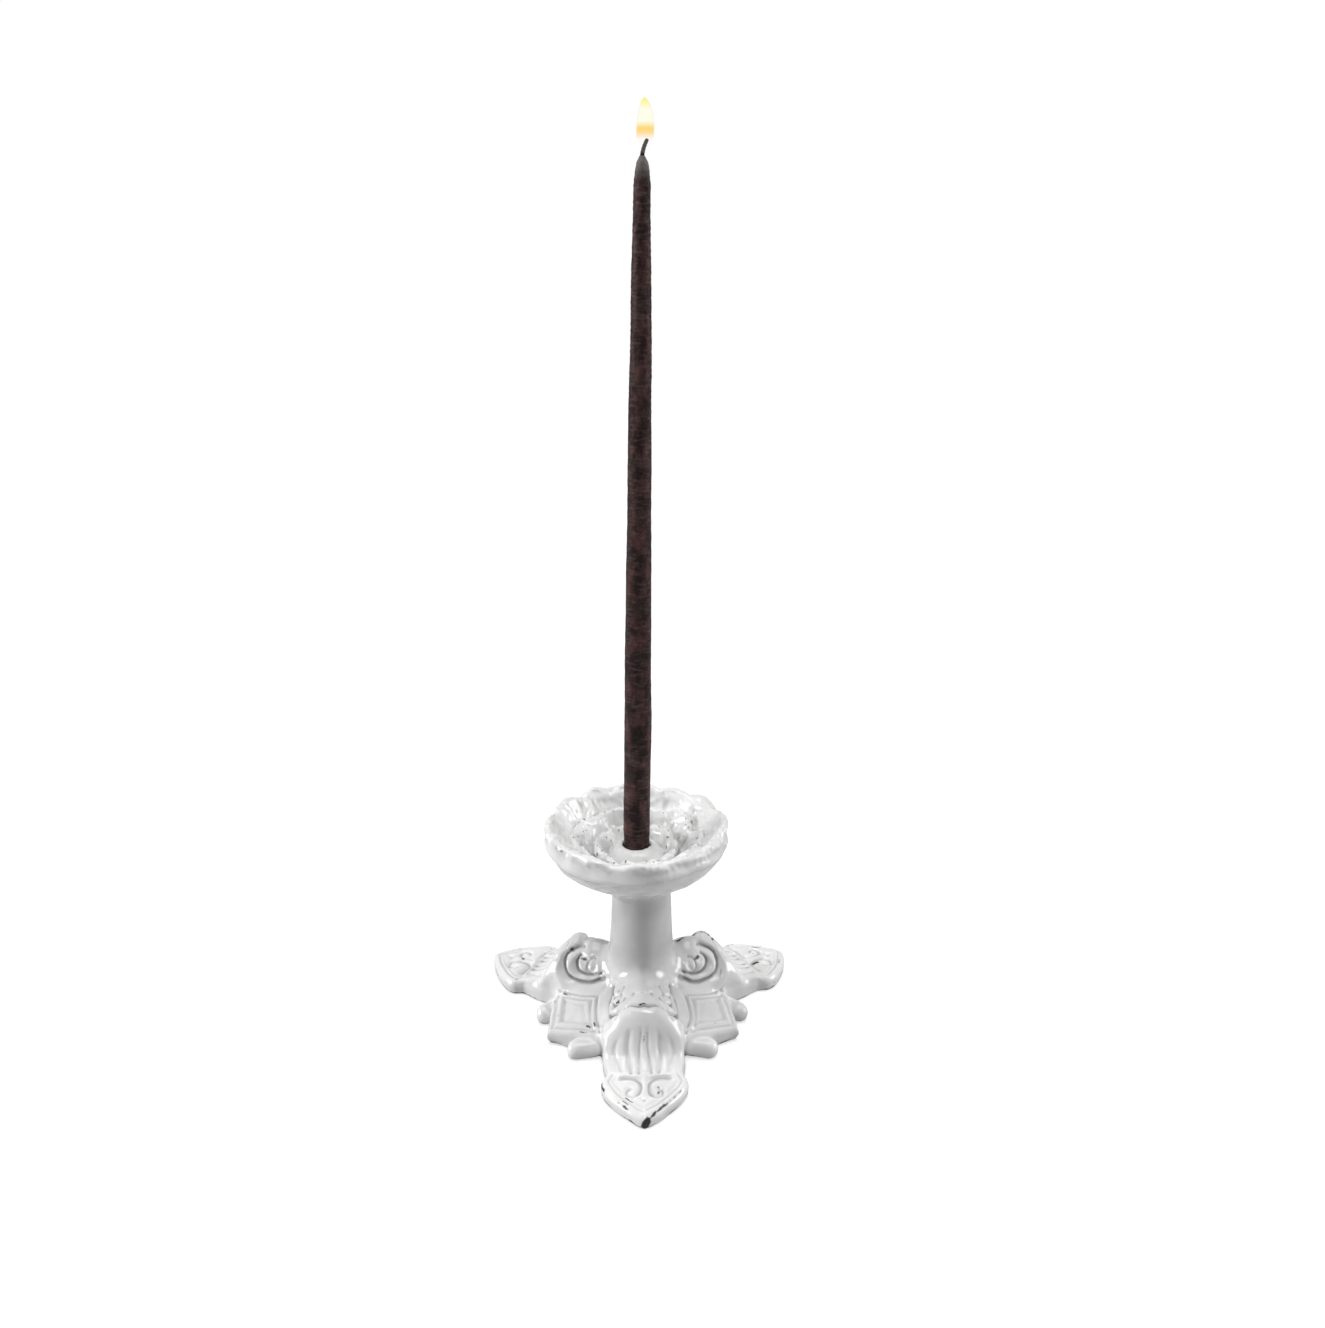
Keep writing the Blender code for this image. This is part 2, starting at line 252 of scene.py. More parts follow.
def leg_top_relief(s, v):
    """Raised (+) and sunk (-) drawing on a leg's top, in mm, against the length along it."""
    h = np.zeros_like(s)
    # rounded scale over the head of the leaf, ending at a crack, with a notch at each side
    crack = s_at(38.4) - 2.0 * (v / 9.0) ** 2 + 0.35 * np.sin(v * 0.9)
    crown = s_at(31.6) + 4.2 * (v / 9.5) ** 4
    scale = step01(crown - 1.4, crown + 2.4, s) * (1 - step01(crack - 0.45, crack + 0.3, s))
    h += 0.95 * scale * (1 - step01(8.6, 10.2, v))
    h -= 0.5 * bell(s - crack - 0.3, 0.55) * (1 - step01(9.5, 11, v))
    h -= 1.3 * stroke(s, v, on_top([(36.0, 10.4), (38.6, 11.0), (40.6, 12.6)]), 0.85)
    # flutes, which run out below the leaf's smooth head
    bow = 0.02 * v**2
    fade = step01(s_at(44.0) + bow, s_at(46.2) + bow, s) * (1 - step01(s_at(59.0), s_at(60.6), s))
    flutes = 0.0
    for points, width, depth in (
        ([(43.5, 1.3), (47, 1.5), (52, 2.1), (60.6, 2.8)], 1.0, 1.0),
        ([(44, 6.0), (47, 6.6), (50, 6.9), (54, 6.5), (60.6, 5.9)], 1.2, 1.0),
        ([(45.0, 10.6), (47, 12.0), (50, 12.6), (54, 11.6), (60.6, 10.2)], 1.1, 0.6),
    ):
        flutes = np.maximum(flutes, depth * stroke(s, v, on_top(points), width))
    h -= 0.85 * fade * flutes
    # ridge across the neck, then the toe's spirals
    neck = s_at(60.8)
    h += 0.55 * bell(s - neck + 0.010 * v**2, 1.1) * (1 - step01(13.5, 16.5, v))
    h += 0.7 * bell(v, 0.9) * step01(s_at(60), s_at(62), s) * (1 - step01(s_at(70), s_at(73), s))
    spiral = [
        (62.4, 12.6), (62.0, 8.6), (62.4, 4.6), (64.6, 2.2), (68.0, 1.8), (71.2, 2.6), (72.7, 4.8),
        (71.7, 7.3), (69.3, 7.3), (67.6, 5.0),
    ]
    h -= 1.3 * stroke(s, v, on_top(spiral), 1.05, ends=3.0)
    h -= 0.5 * stroke(s, v, on_top([(75.0, 0.0), (77.0, 0.0)]), 0.8)
    h -= 0.45 * stroke(s, v, on_top([(74.2, 1.6), (75.6, 0.0)]), 0.6)
    return h


def toe_border(inset):
    """The toe's sloping edge and the lines drawn inside it, against the distance from its outline."""
    bevel = -1.0 * (1 - step01(0.0, 2.8, inset))
    return bevel - 0.8 * bell(inset - 3.0, 0.7) - 0.45 * bell(inset - 4.8, 0.55)


def kite(w, t):
    """Distance outside a panel's two straight edges, seen from above."""
    return 0.794 * w + 0.607 * np.abs(t) - 40.9


def plan_relief(u, v):
    """Drawing on the foot's flare between the scrolls, seen from above."""
    w, t = u * COS60 + v * SIN60, u * SIN60 - v * COS60
    inset = -kite(w, t)
    h = np.zeros_like(u)
    arc = [(43.5, 12.5), (38, 16.2), (34, 18.7), (30, 20.4), (26, 21.6), (20, 21.9), (14, 21.2), (8, 19.6)]
    inner = [
        (45.5, 14.5), (39.5, 18.4), (35.3, 21.0), (31, 22.9), (26.4, 24.0), (20, 24.3), (14, 23.8), (8, 23.0),
    ]
    between = [((a[0] + b[0]) / 2, (a[1] + b[1]) / 2) for a, b in zip(arc, inner)]
    h -= 0.95 * stroke(u, v, arc, 1.1)
    h -= 0.85 * stroke(u, v, inner, 1.05)
    h += 0.45 * stroke(u, v, between, 0.9)
    # border along the panel's two straight edges, outside the arcs
    from_arc = to_segments(u, v, curve_through(inner))[0] * np.sign(w - 25.5 - 0.02 * t**2)
    past = step01(0.0, 2.2, from_arc + 0.8)
    h -= 0.8 * bell(inset - 2.7, 0.95) * past
    h += 0.35 * bell(inset - 4.1, 0.8) * past
    h -= 0.5 * (1 - step01(0, 1.3, inset)) * past
    # sunk field inside the border, with a raised leaf in it
    field = np.minimum(inset - 5.0, (w - 29.8 - 0.45 * np.abs(t)) * 0.9)
    h -= 0.95 * step01(0.0, 1.9, field)
    leaf = [panel_to_leg(*point) for point in [(30.5, 0.0), (37.0, 0.0), (42.0, 0.0)]]
    h += 0.7 * stroke(u, v, leaf, 2.6, ends=4.0)
    lobe = [panel_to_leg(*point) for point in [(33.5, 1.5), (36.2, 5.0), (37.0, 8.5)]]
    h += 0.5 * stroke(u, v, lobe, 1.9, ends=3.0)
    return h * step01(13.0, 15.0, v)


# The scroll on each flank of a leg, as u and z: a groove that winds round the rim, and a curl inside it
VOLUTE = [
    (11.0, 22.4), (14.5, 20.0), (18.5, 17.9), (23.0, 16.6), (28.5, 16.7), (33.0, 18.4), (35.8, 21.3),
    (36.1, 24.4), (34.2, 26.8), (30.8, 28.2), (27.0, 28.6),
]
CURL = [
    (14.6, 23.2), (17.0, 21.3), (20.6, 20.0), (24.6, 19.8), (28.0, 20.9), (30.0, 23.3), (29.4, 25.7),
    (27.0, 26.4),
]


def volute_relief(u, z):
    """Raised (+) and sunk (-) drawing of the scroll."""
    h = -2.9 * stroke(u, z, VOLUTE, 1.3, ends=3.0) - 2.4 * stroke(u, z, CURL, 1.05, ends=3.0)
    eye = np.hypot(u - 21.4, z - 24.0)
    h += 1.1 * bell(eye, 1.5) - 1.2 * bell(eye - 2.5, 0.75) * step01(19.0, 21.5, u)
    h -= 1.6 * bell(u - 25.6, 1.5) * bell(z - 25.2, 1.1)
    # rolls between the grooves
    roll = np.hypot(u - 25.0, (z - 22.5) * 1.15)
    return h + 0.7 * bell(roll - 7.6, 1.3) * (z < 26) + 0.8 * bell(roll - 13.6, 1.6) * (z < 25)


top_relief = Table((-2, -1), (100, 40), 0.22, leg_top_relief)
flat_relief = Table((0, 8), (62, 62), 0.22, plan_relief)
disc_relief = Table((2, 0), (50, 46), 0.22, volute_relief)


def fold(x, y):
    """Distance from the axis, and the place in the nearest leg's frame: u outwards, v across."""
    r = np.hypot(x, y)
    turn = np.arctan2(y, x) + math.radians(150)
    phi = np.mod(turn, math.radians(120)) - math.radians(60)
    return r, r * np.cos(phi), r * np.sin(phi)


flare_line = curve_through(FLARE, 6)
flare_polygon = np.vstack([flare_line, [(140, 4), (140, -30), (0, -30), (0, 50)]])
flare_field = outline_table((-2, -6), (110, 60), 0.35, flare_polygon)
STEM_WALL = ([0, 22, 30, 36, 42, 50, 62, 90], [17.5, 15.9, 15.3, 14.9, 14.6, 14.25, 13.8, 13.4])
EAR_FROM, EAR_LONG, EAR_ASIDE, EAR_HIGH = 37.0, 6.8, 18.6, 3.4


def stem_field(x, y, z):
    r = np.hypot(x + 0.16 * wave(x, y, z, 34, 3), y + 0.16 * wave(x, y, z, 34, 4))
    return (r - np.interp(z, *STEM_WALL)) * 0.99 + 0.05 * wave(x, y, z * 2.2, 11, 5)


def stem_below_pan(x, y, z):
    return np.where(z < STEM_LIMIT, stem_field(x, y, z), 9.0)


def foot_only(x, y, z, stem):
    """Legs, panels and ears, joined to the stem's field, and the distance from the axis."""
    x = x + 0.45 * wave(x, y, z, 38, 11) + 0.14 * wave(x, y, z, 9, 12)
    y = y + 0.45 * wave(x, y, z, 38, 13) + 0.14 * wave(x, y, z, 9, 14)
    z = z + 0.14 * wave(x, y, z, 13, 15) * step01(1.0, 4.0, z)
    r, u, v = fold(x, y)
    a = np.abs(v)
    w, t = u * COS60 + a * SIN60, u * SIN60 - a * COS60
    plan = leg_plan(u, a)
    # flare, cut to the panels' and the legs' outline
    edge = smin(kite(w, t), plan, 1.6)
    undercut = 0.45 * np.maximum(3.2 - z, 0) * step01(42, 48, w)
    apron = smax(flare_field(r, z) - flat_relief(u, a), edge + undercut, 2.2)
    # scroll, fluted leaf and toe
    far = step01(33.0, 41.0, u)
    domed = z + 3.9 * (a / 9.0) ** 1.5 * (1 - far) + 2.2 * (a / 10.0) ** 2 * far * (1 - step01(47, 57, u))
    s = leg_along(u, domed)
    top = leg_side(u, domed) - top_relief(s, a) - step01(57, 60, u) * toe_border(-plan)
    slant = (a - np.interp(z, *FLANK)) * 0.84 - disc_relief(u, z)
    leg = smax(smax(top, slant, 3.4), plan, 2.0)
    # ears beside the panels' corners
    ew = np.clip((w - EAR_FROM) / EAR_LONG, 0, 1)
    aside = np.abs(t) - EAR_ASIDE + 2.8 * ew
    ear = np.sqrt((w - EAR_FROM - EAR_LONG * ew) ** 2 + aside**2 + ((z - EAR_HIGH) * 0.95) ** 2)
    ear = ear - 4.1 - 0.3 * ew
    body = smin(apron, smin(leg, stem, 5.0), 1.3)
    body = smin(body, ear, 1.6)
    return body, r


# The ring channel under the foot: its inner and outer radius, and its roof's height against the radius
CHANNEL_INNER, CHANNEL_OUTER = 16.0, 30.5
CHANNEL_ROOF = ([15, 16, 20, 24, 30, 31], [16, 16, 15, 12, 6, -2])


def clay_field(x, y, z):
    """Foot, stem and the pan's underside as one clay surface, hollow below."""
    body, r = foot_only(x, y, z, stem_below_pan(x, y, z))
    body = smin(body, pan_body(x, y, z), 2.6)
    body = smax(body, -z + 0.02, 0.7)
    channel = np.maximum(CHANNEL_INNER - r, z - np.interp(r, *CHANNEL_ROOF))
    channel = np.maximum(channel, r - CHANNEL_OUTER)
    body = smax(body, -channel * 0.8, 0.8)
    hole = np.maximum(r - SPIGOT_HOLE, z - SPIGOT_HOLE_TOP)
    return np.maximum(body, -hole)


# ---------------------------------------------------------------- cup
# The pan's section, as distance from its axis and height
PAN_SECTION = [
    (0, 66.2), (12.9, 66.4), (14.4, 67.9), (19, 71.5), (26, 75.8), (33, 80.0), (37.8, 84.6), (40.0, 88.6),
    (40.3, 92.6), (38.4, 94.6), (35.0, 92.4), (30.5, 87.0), (24, 80.8), (18, 76.4), (12, 73.0), (0, 72.0),
]
pan_section = outline_table((-1, 58), (52, 108), 0.3, PAN_SECTION)


def pan_body(x, y, z):
    px = x - PAN_X
    px, py = px + 0.35 * wave(x, y, z, 30, 21), y + 0.35 * wave(x, y, z, 30, 22)
    return pan_section(np.hypot(px, py), z) + 0.14 * wave(x, y, z, 10, 23)


def crumple(x, y, z):
    """Pinched, sharp-ridged unevenness of hand-pressed clay."""
    return 0.55 * np.abs(wave(x, y, z, 9, 81)) + 0.35 * np.abs(wave(x, y, z, 4.5, 82)) - 0.4


def petals(count, seed, root, waist, crest, thick, spread=0.0, lift=0.0, lap=1.0, ruffle=0.0):
    """Numbers for one ring of hand-pressed petals.

    Each petal's profile runs root, waist, crest, as (radius, height).
    """
    rng = np.random.default_rng(seed)
    gap = 2 * math.pi / count
    angle = gap * (np.arange(count) + rng.uniform(-0.16, 0.16, count))
    return dict(
        count=count,
        angle=np.sort(angle % (2 * math.pi)),
        half=gap * rng.uniform(0.56, 0.70, count),
        root=root,
        waist=waist,
        crest=crest,
        radius=rng.uniform(-spread, spread, count),
        height=rng.uniform(-lift, lift, count),
        lean=rng.uniform(0.5, 1.3, count) * lap,
        thick=thick * rng.uniform(0.85, 1.15, count),
        ruffle=ruffle * rng.uniform(0.5, 1.4, count),
        phase=rng.uniform(0, 6.28, count),
    )


OUTER = petals(12, 5, (30.6, 87.0), (35.2, 91.8), (39.6, 98.6), 2.2, 0.8, 0.8, 1.0, 0.25)
MIDDLE = petals(10, 8, (20.6, 79.0), (25.2, 86.2), (29.0, 92.2), 2.1, 1.1, 1.3, 1.6, 0.6)
INNER = petals(8, 3, (12.6, 77.0), (15.0, 82.8), (18.0, 88.0), 1.9, 0.9, 1.0, 1.3, 0.7)


def ring_field(ring, x, y, z):
    px = x - PAN_X
    r, angle = np.hypot(px, y), np.mod(np.arctan2(y, px), 2 * math.pi)
    # the hand-set ring is a little higher at the back
    z = z - 1.0 * np.sin(angle) * np.clip((z - 80) / 12, 0, 1)
    order = np.searchsorted(ring["angle"], angle)
    out = np.full(r.shape, 50.0)
    for shift in (-2, -1, 0, 1):
        i = (order + shift) % ring["count"]
        off = np.mod(angle - ring["angle"][i] + math.pi, 2 * math.pi) - math.pi
        part = off / ring["half"][i]
        over = np.maximum(np.abs(part) - 1, 0) * ring["half"][i] * r
        side = np.clip(part, -1, 1)
        fall = np.sqrt(np.clip(1 - side**2 * 0.97, 0, 1))
        ripple = ring["ruffle"][i] * np.sin(side * 5.5 + ring["phase"][i])
        (r0, z0), (r1, z1), (r2, z2) = ring["root"], ring["waist"], ring["crest"]
        lean = ring["lean"][i] * side
        cr = r2 + ring["radius"][i] + lean + 0.5 * ripple
        cz = z2 + ring["height"][i] + ripple
        cr = r1 + (cr - r1) * (0.25 + 0.75 * fall)
        cz = z1 + (cz - z1) * (0.30 + 0.70 * fall)
        wr = r1 + lean
        d = np.minimum(segment(r, z, r0 + lean * 0.4, z0, wr, z1), segment(r, z, wr, z1, cr, cz))
        d = np.hypot(d, over) - ring["thick"][i]
        out = smin(out, d, 0.45)
    return out + 0.75 * crumple(x, y, z)


def segment(px, py, ax, ay, bx, by):
    """Distance to one straight stretch, whose ends may vary from point to point."""
    dx, dy = bx - ax, by - ay
    t = np.clip(((px - ax) * dx + (py - ay) * dy) / (dx * dx + dy * dy + 1e-9), 0, 1)
    return np.hypot(px - ax - t * dx, py - ay - t * dy)


def lip_field(x, y, z):
    """The pan's rolled lip, pressed into uneven lumps, with the outer petals inside it."""
    px = x - PAN_X
    r, angle = np.hypot(px, y), np.arctan2(y, px)
    swell = 0.6 * np.sin(6 * angle + 0.7) + 0.5 * np.sin(11 * angle + 2.1) + 0.35 * np.sin(17 * angle + 4.0)
    # the rolled clay overlaps in front
    tuck = 2.4 * (step01(-1.60, -1.47, angle) - step01(-1.0, -0.5, angle))
    low = 91.6 + 0.9 * np.sin(4 * angle + 1.0) * np.sin(angle * 1.5) + 0.6 * swell + tuck
    top_r, top_z, low_r = 38.2 + 0.4 * swell, 95.6 + 0.5 * swell, 39.2 + 0.5 * swell
    roll = segment(r, z - 0.8 * np.sin(angle), top_r, top_z, low_r, low)
    roll = roll - 2.55 + 0.25 * crumple(x, y, z)
    return smin(roll, ring_field(OUTER, x, y, z), 1.3)


def socket_field(x, y, z):
    """The mound of clay round the candle."""
    bore = np.hypot(x - PAN_X, y)
    r = bore + 0.3 * wave(x, y, z, 12, 31)
    mound = 9.2 + 0.8 * np.clip(SOCKET_TOP - z, 0, 4.5)
    body = smax(np.maximum((r - mound) * 0.8, SOCKET_FLOOR - 0.1 - z), z - SOCKET_TOP, 2.4)
    return np.maximum(body + 0.4 * crumple(x, y, z) + 0.1, SOCKET_BORE - bore)


def pan_field(x, y, z):
    """The pan with its share of the join to the stem."""
    return smin(pan_body(x, y, z), stem_below_pan(x, y, z), 2.6)


CUP_PARTS = {
    "drip_pan": pan_field,
    "outer_petal_ring": lip_field,
    "middle_petal_ring": lambda x, y, z: ring_field(MIDDLE, x, y, z),
    "inner_petal_ring": lambda x, y, z: ring_field(INNER, x, y, z),
    "candle_socket": socket_field,
}


# ---------------------------------------------------------------- fields to meshes
BLOCK = 8


class Field:
    """Fields kept on a grid, worked out only near their surfaces."""

    REACH = 2.6  # how far from a surface, in mm

    def __init__(self, low, high, step, functions):
        self.low, self.step = np.array(low, float), step
        n = [int(math.ceil((high[i] - low[i]) / step / BLOCK)) for i in range(3)]
        self.shape = tuple(BLOCK * k for k in n)
        half = BLOCK * step / 2
        axes = [low[i] + step * (BLOCK * np.arange(n[i]) + (BLOCK - 1) / 2) for i in range(3)]
        bx, by, bz = (g.ravel() for g in np.meshgrid(*axes, indexing="ij"))
        rough = functions(bx, by, bz)
        limit = half * math.sqrt(3) * 1.15 + self.REACH
        near = np.any([np.abs(f) < limit for f in rough], axis=0)
        near = np.nonzero(near)[0]
        self.values = []
        for f in rough:
            big = np.where(f < 0, -9.0, 9.0).astype(np.float32).reshape(n)
            self.values.append(np.repeat(np.repeat(np.repeat(big, BLOCK, 0), BLOCK, 1), BLOCK, 2))
        offset = step * (np.arange(BLOCK) - (BLOCK - 1) / 2)
        ox, oy, oz = np.meshgrid(offset, offset, offset, indexing="ij")
        views = [v.reshape(n[0], BLOCK, n[1], BLOCK, n[2], BLOCK) for v in self.values]
        index = np.stack(np.unravel_index(near, n), 1)
        for start in range(0, len(near), 300):
            part = near[start : start + 300]
            x = bx[part, None, None, None] + ox
            y = by[part, None, None, None] + oy
            z = bz[part, None, None, None] + oz
            made = functions(x, y, z)
            i, j, k = index[start : start + 300].T
            for view, f in zip(views, made):
                view[i, :, j, :, k, :] = f

    def read(self, which, p):
        """Trilinear value at points in mm."""
        g = (p - self.low) / self.step
        g = np.clip(g, 0, np.array(self.shape) - 1.001)
        i = g.astype(np.int64)
        f = g - i
        values = (self.values[which] if isinstance(which, int) else which).ravel()
        sy, sx = self.shape[2], self.shape[1] * self.shape[2]
        at = i[:, 0] * sx + i[:, 1] * sy + i[:, 2]
        out = 0.0
        for dx in (0, 1):
            wx = f[:, 0] if dx else 1 - f[:, 0]
            for dy in (0, 1):
                wy = f[:, 1] if dy else 1 - f[:, 1]
                for dz in (0, 1):
                    wz = f[:, 2] if dz else 1 - f[:, 2]
                    out = out + values[at + dx * sx + dy * sy + dz] * wx * wy * wz
        return out

    def slope(self, which, p, h=None):
        """Which way, and how fast, a field grows."""
        h = h or self.step * 0.75
        out = np.zeros_like(p)
        for axis in range(3):
            d = np.zeros(3)
            d[axis] = h
            out[:, axis] = (self.read(which, p + d) - self.read(which, p - d)) / (2 * h)
        return out

    def bend(self, which, p, h):
        """How rounded the surface is: above 0 on edges and knobs, below 0 in grooves."""
        total = 0.0
        for axis in range(3):
            for sign in (-1, 1):
                d = np.zeros(3)
                d[axis] = sign * h
                total = total + np.clip(self.read(which, p + d), -4, 4)
        return (total / 6 - self.read(which, p)) * 6 / h**2


def unit(v):
    return v / np.maximum(np.linalg.norm(v, axis=1, keepdims=True), 1e-9)


def surface_net(field, f, crease=None):
    """Mesh of f = 0 from its grid.

    With crease, a pair of fields whose larger one is f, corners are kept sharp.
    """
    inside = f < 0
    nx, ny, nz = (n - 1 for n in f.shape)
    count = np.zeros((nx, ny, nz), np.uint8)
    corners = [(a, b, c) for a in (0, 1) for b in (0, 1) for c in (0, 1)]
    for a, b, c in corners:
        count += inside[a : a + nx, b : b + ny, c : c + nz]
    active = (count > 0) & (count < 8)
    index = np.full(active.shape, -1, np.int32)
    cells = np.argwhere(active)
    index[active] = np.arange(len(cells))
    i, j, k = cells.T
    total, hits = np.zeros((len(cells), 3)), np.zeros(len(cells))
    for a in corners:
        for axis in range(3):
            if a[axis]:
                continue
            b = list(a)
            b[axis] = 1
            fa = f[i + a[0], j + a[1], k + a[2]].astype(float)
            fb = f[i + b[0], j + b[1], k + b[2]].astype(float)
            cross = (fa < 0) != (fb < 0)
            t = np.where(cross, fa / np.where(cross, fa - fb, 1), 0)
            point = np.array(a, float) + t[:, None] * (np.array(b, float) - np.array(a, float))
            total += np.where(cross[:, None], point, 0)
            hits += cross
    verts = field.low + field.step * (cells + total / hits[:, None])
    middle = field.low + field.step * (cells + 0.5)

    def pull(g, p):
        value = field.read(g, p)
        n = field.slope(g, p)
        move = -value[:, None] * n / np.maximum((n * n).sum(1), 0.2)[:, None]
        return p + np.clip(move, -0.5 * field.step, 0.5 * field.step)

    if crease is None:
        verts = pull(f, verts)
    else:
        g, s = crease
        size = field.step
        vg, vs = field.read(g, middle), field.read(s, middle)
        both = (np.abs(vg) < 0.87 * size) & (np.abs(vs) < 0.87 * size)
        smooth_g, smooth_s = ~both & (np.abs(vg) <= np.abs(vs)), ~both & (np.abs(vg) > np.abs(vs))
        verts[smooth_g] = pull(g, verts[smooth_g])
        verts[smooth_s] = pull(s, verts[smooth_s])
        for _ in range(3):
            verts[both] = pull(g, verts[both])
            verts[both] = pull(s, verts[both])
    verts = np.clip(verts, middle - 0.55 * field.step, middle + 0.55 * field.step)

    quads = []
    for axis in range(3):
        e1, e2 = (axis + 1) % 3, (axis + 2) % 3
        lo = [slice(None)] * 3
        hi = [slice(None)] * 3
        lo[axis], hi[axis] = slice(0, -1), slice(1, None)
        a, b = inside[tuple(lo)], inside[tuple(hi)]
        at = np.argwhere(a != b)
        ok = (at[:, e1] > 0) & (at[:, e2] > 0) & (at[:, e1] < f.shape[e1] - 1) & (at[:, e2] < f.shape[e2] - 1)
        at = at[ok]
        d1, d2 = np.eye(3, dtype=int)[e1], np.eye(3, dtype=int)[e2]
        ring = [at - d1 - d2, at - d2, at, at - d1]
        quad = np.stack([index[tuple(c.T)] for c in ring], 1)
        outward = a[tuple(at.T)]
        quad[~outward] = quad[~outward][:, ::-1]
        quads.append(quad)
    quads = np.vstack(quads)
    quads = quads[(quads >= 0).all(1)]
    return verts, quads


def to_triangles(verts, quads):
    """Split each quad along its shorter diagonal."""
    a, b, c, d = (verts[quads[:, n]] for n in range(4))
    short = ((a - c) ** 2).sum(1) <= ((b - d) ** 2).sum(1)
    one = np.where(short[:, None], quads[:, [0, 1, 2]], quads[:, [0, 1, 3]])
    two = np.where(short[:, None], quads[:, [0, 2, 3]], quads[:, [1, 2, 3]])
    return np.vstack([one, two])


def cut(verts, tris, skin, normal, level):
    """Keep the side of a closed mesh where normal . p <= level, and close it with a flat cap."""
    normal = np.array(normal, float)
    s = verts @ normal - level
    s[np.abs(s) < 1e-4] = -1e-4
    out = s > 0
    n_out = out[tris].sum(1)
    keep = tris[n_out == 0]
    keep_skin = skin[n_out == 0]
    pairs, new_tris, new_skin, seams = {}, [], [], []
    extra = []
    base = len(verts)

    def crossing(a, b):
        key = (a, b) if a < b else (b, a)
        if key not in pairs:
            pairs[key] = base + len(extra)
            t = s[key[0]] / (s[key[0]] - s[key[1]])
            extra.append(verts[key[0]] + t * (verts[key[1]] - verts[key[0]]))
        return pairs[key]

    split = (n_out == 1) | (n_out == 2)
    for tri, flag in zip(tris[split].tolist(), skin[split].tolist()):
        ins = [not out[v] for v in tri]
        if sum(ins) == 1:
            r = ins.index(True)
            a, b, c = tri[r], tri[(r + 1) % 3], tri[(r + 2) % 3]
            ab, ac = crossing(a, b), crossing(a, c)
            new_tris.append((a, ab, ac))
            new_skin.append(flag)
            seams.append((ac, ab))
        else:
            r = ins.index(False)
            c, a, b = tri[r], tri[(r + 1) % 3], tri[(r + 2) % 3]
            bc, ca = crossing(b, c), crossing(a, c)
            new_tris += [(a, b, bc), (a, bc, ca)]
            new_skin += [flag, flag]
            seams.append((ca, bc))
    points = np.vstack([verts, np.array(extra).reshape(-1, 3)])
    cap = fill(points, seams, normal)
    tris = np.vstack([keep, np.array(new_tris, int).reshape(-1, 3), cap])
    skin = np.concatenate([keep_skin, np.array(new_skin, int), np.zeros(len(cap), int)])
    return tidy(points, tris, skin)


def fill(points, seams, normal):
    """Triangles over the flat loops that a cut leaves."""
    bm = bmesh.new()
    made = {}
    for seam in seams:
        for v in seam:
            if v not in made:
                made[v] = bm.verts.new(points[v])
    back = {corner: v for v, corner in made.items()}
    edges = []
    for a, b in seams:
        if a != b:
            e = bm.edges.get((made[a], made[b])) or bm.edges.new((made[a], made[b]))
            edges.append(e)
    made_faces = bmesh.ops.triangle_fill(bm, use_beauty=True, edges=edges, normal=normal)["geom"]
    out = []
    for face in made_faces:
        if isinstance(face, bmesh.types.BMFace):
            ids = [back[v] for v in face.verts]
            if face.normal.dot(normal) < 0:
                ids.reverse()
            out.append(ids)
    bm.free()
    return np.array(out, int).reshape(-1, 3)


def tidy(points, tris, skin):
    """Drop the points that no triangle uses."""
    used = np.unique(tris)
    again = np.full(len(points), -1)
    again[used] = np.arange(len(used))
    return points[used], again[tris], skin


def grow_mesh(name, verts, faces, normals, skin, attributes):
    """A Blender mesh in metres with its own normals and point attributes."""
    mesh = bpy.data.meshes.new(name)
    size = faces.shape[1]
    mesh.vertices.add(len(verts))
    mesh.vertices.foreach_set("co", (verts * MM).astype(np.float32).ravel())
    mesh.loops.add(faces.size)
    mesh.loops.foreach_set("vertex_index", faces.astype(np.int32).ravel())
    mesh.polygons.add(len(faces))
    mesh.polygons.foreach_set("loop_start", (np.arange(len(faces)) * size).astype(np.int32))
    mesh.polygons.foreach_set("loop_total", np.full(len(faces), size, np.int32))
    mesh.update(calc_edges=True)
    mesh.validate()
    mesh.shade_smooth()
    loop_normals = normals[faces]
    a, b, c = verts[faces[:, 0]], verts[faces[:, 1]], verts[faces[:, 2]]
    flat = unit(np.cross(b - a, c - a))
    wall = skin == 0
    loop_normals[wall] = flat[wall][:, None, :]
    mesh.normals_split_custom_set(loop_normals.reshape(-1, 3).astype(np.float32))
    add_attributes(mesh, attributes)
    return mesh


def add_attributes(mesh, attributes):
    for key, values in attributes.items():
        layer = mesh.attributes.new(key, "FLOAT", "POINT")
        layer.data.foreach_set("value", values.astype(np.float32))


def plain_mesh(name, verts, faces, attributes):
    """A Blender mesh in metres, shaded smooth, with point attributes."""
    mesh = bpy.data.meshes.new(name)
    mesh.from_pydata((verts * MM).tolist(), [], faces.tolist())
    mesh.update()
    mesh.shade_smooth()
    add_attributes(mesh, attributes)
    return mesh


def lathe(rows, around):
    """Faces of a closed lathe with the given rows, and a point at each end."""
    faces = []
    k = np.arange(around)
    m = (k + 1) % around
    faces.append(np.stack([np.zeros(around, int), 1 + m, 1 + k], 1))
    for row in range(rows - 1):
        lo, hi = 1 + row * around, 1 + (row + 1) * around
        faces.append(np.stack([lo + k, lo + m, hi + m], 1))
        faces.append(np.stack([lo + k, hi + m, hi + k], 1))
    top = 1 + (rows - 1) * around
    faces.append(np.stack([top + k, top + m, np.full(around, 1 + rows * around)], 1))
    return np.vstack(faces)


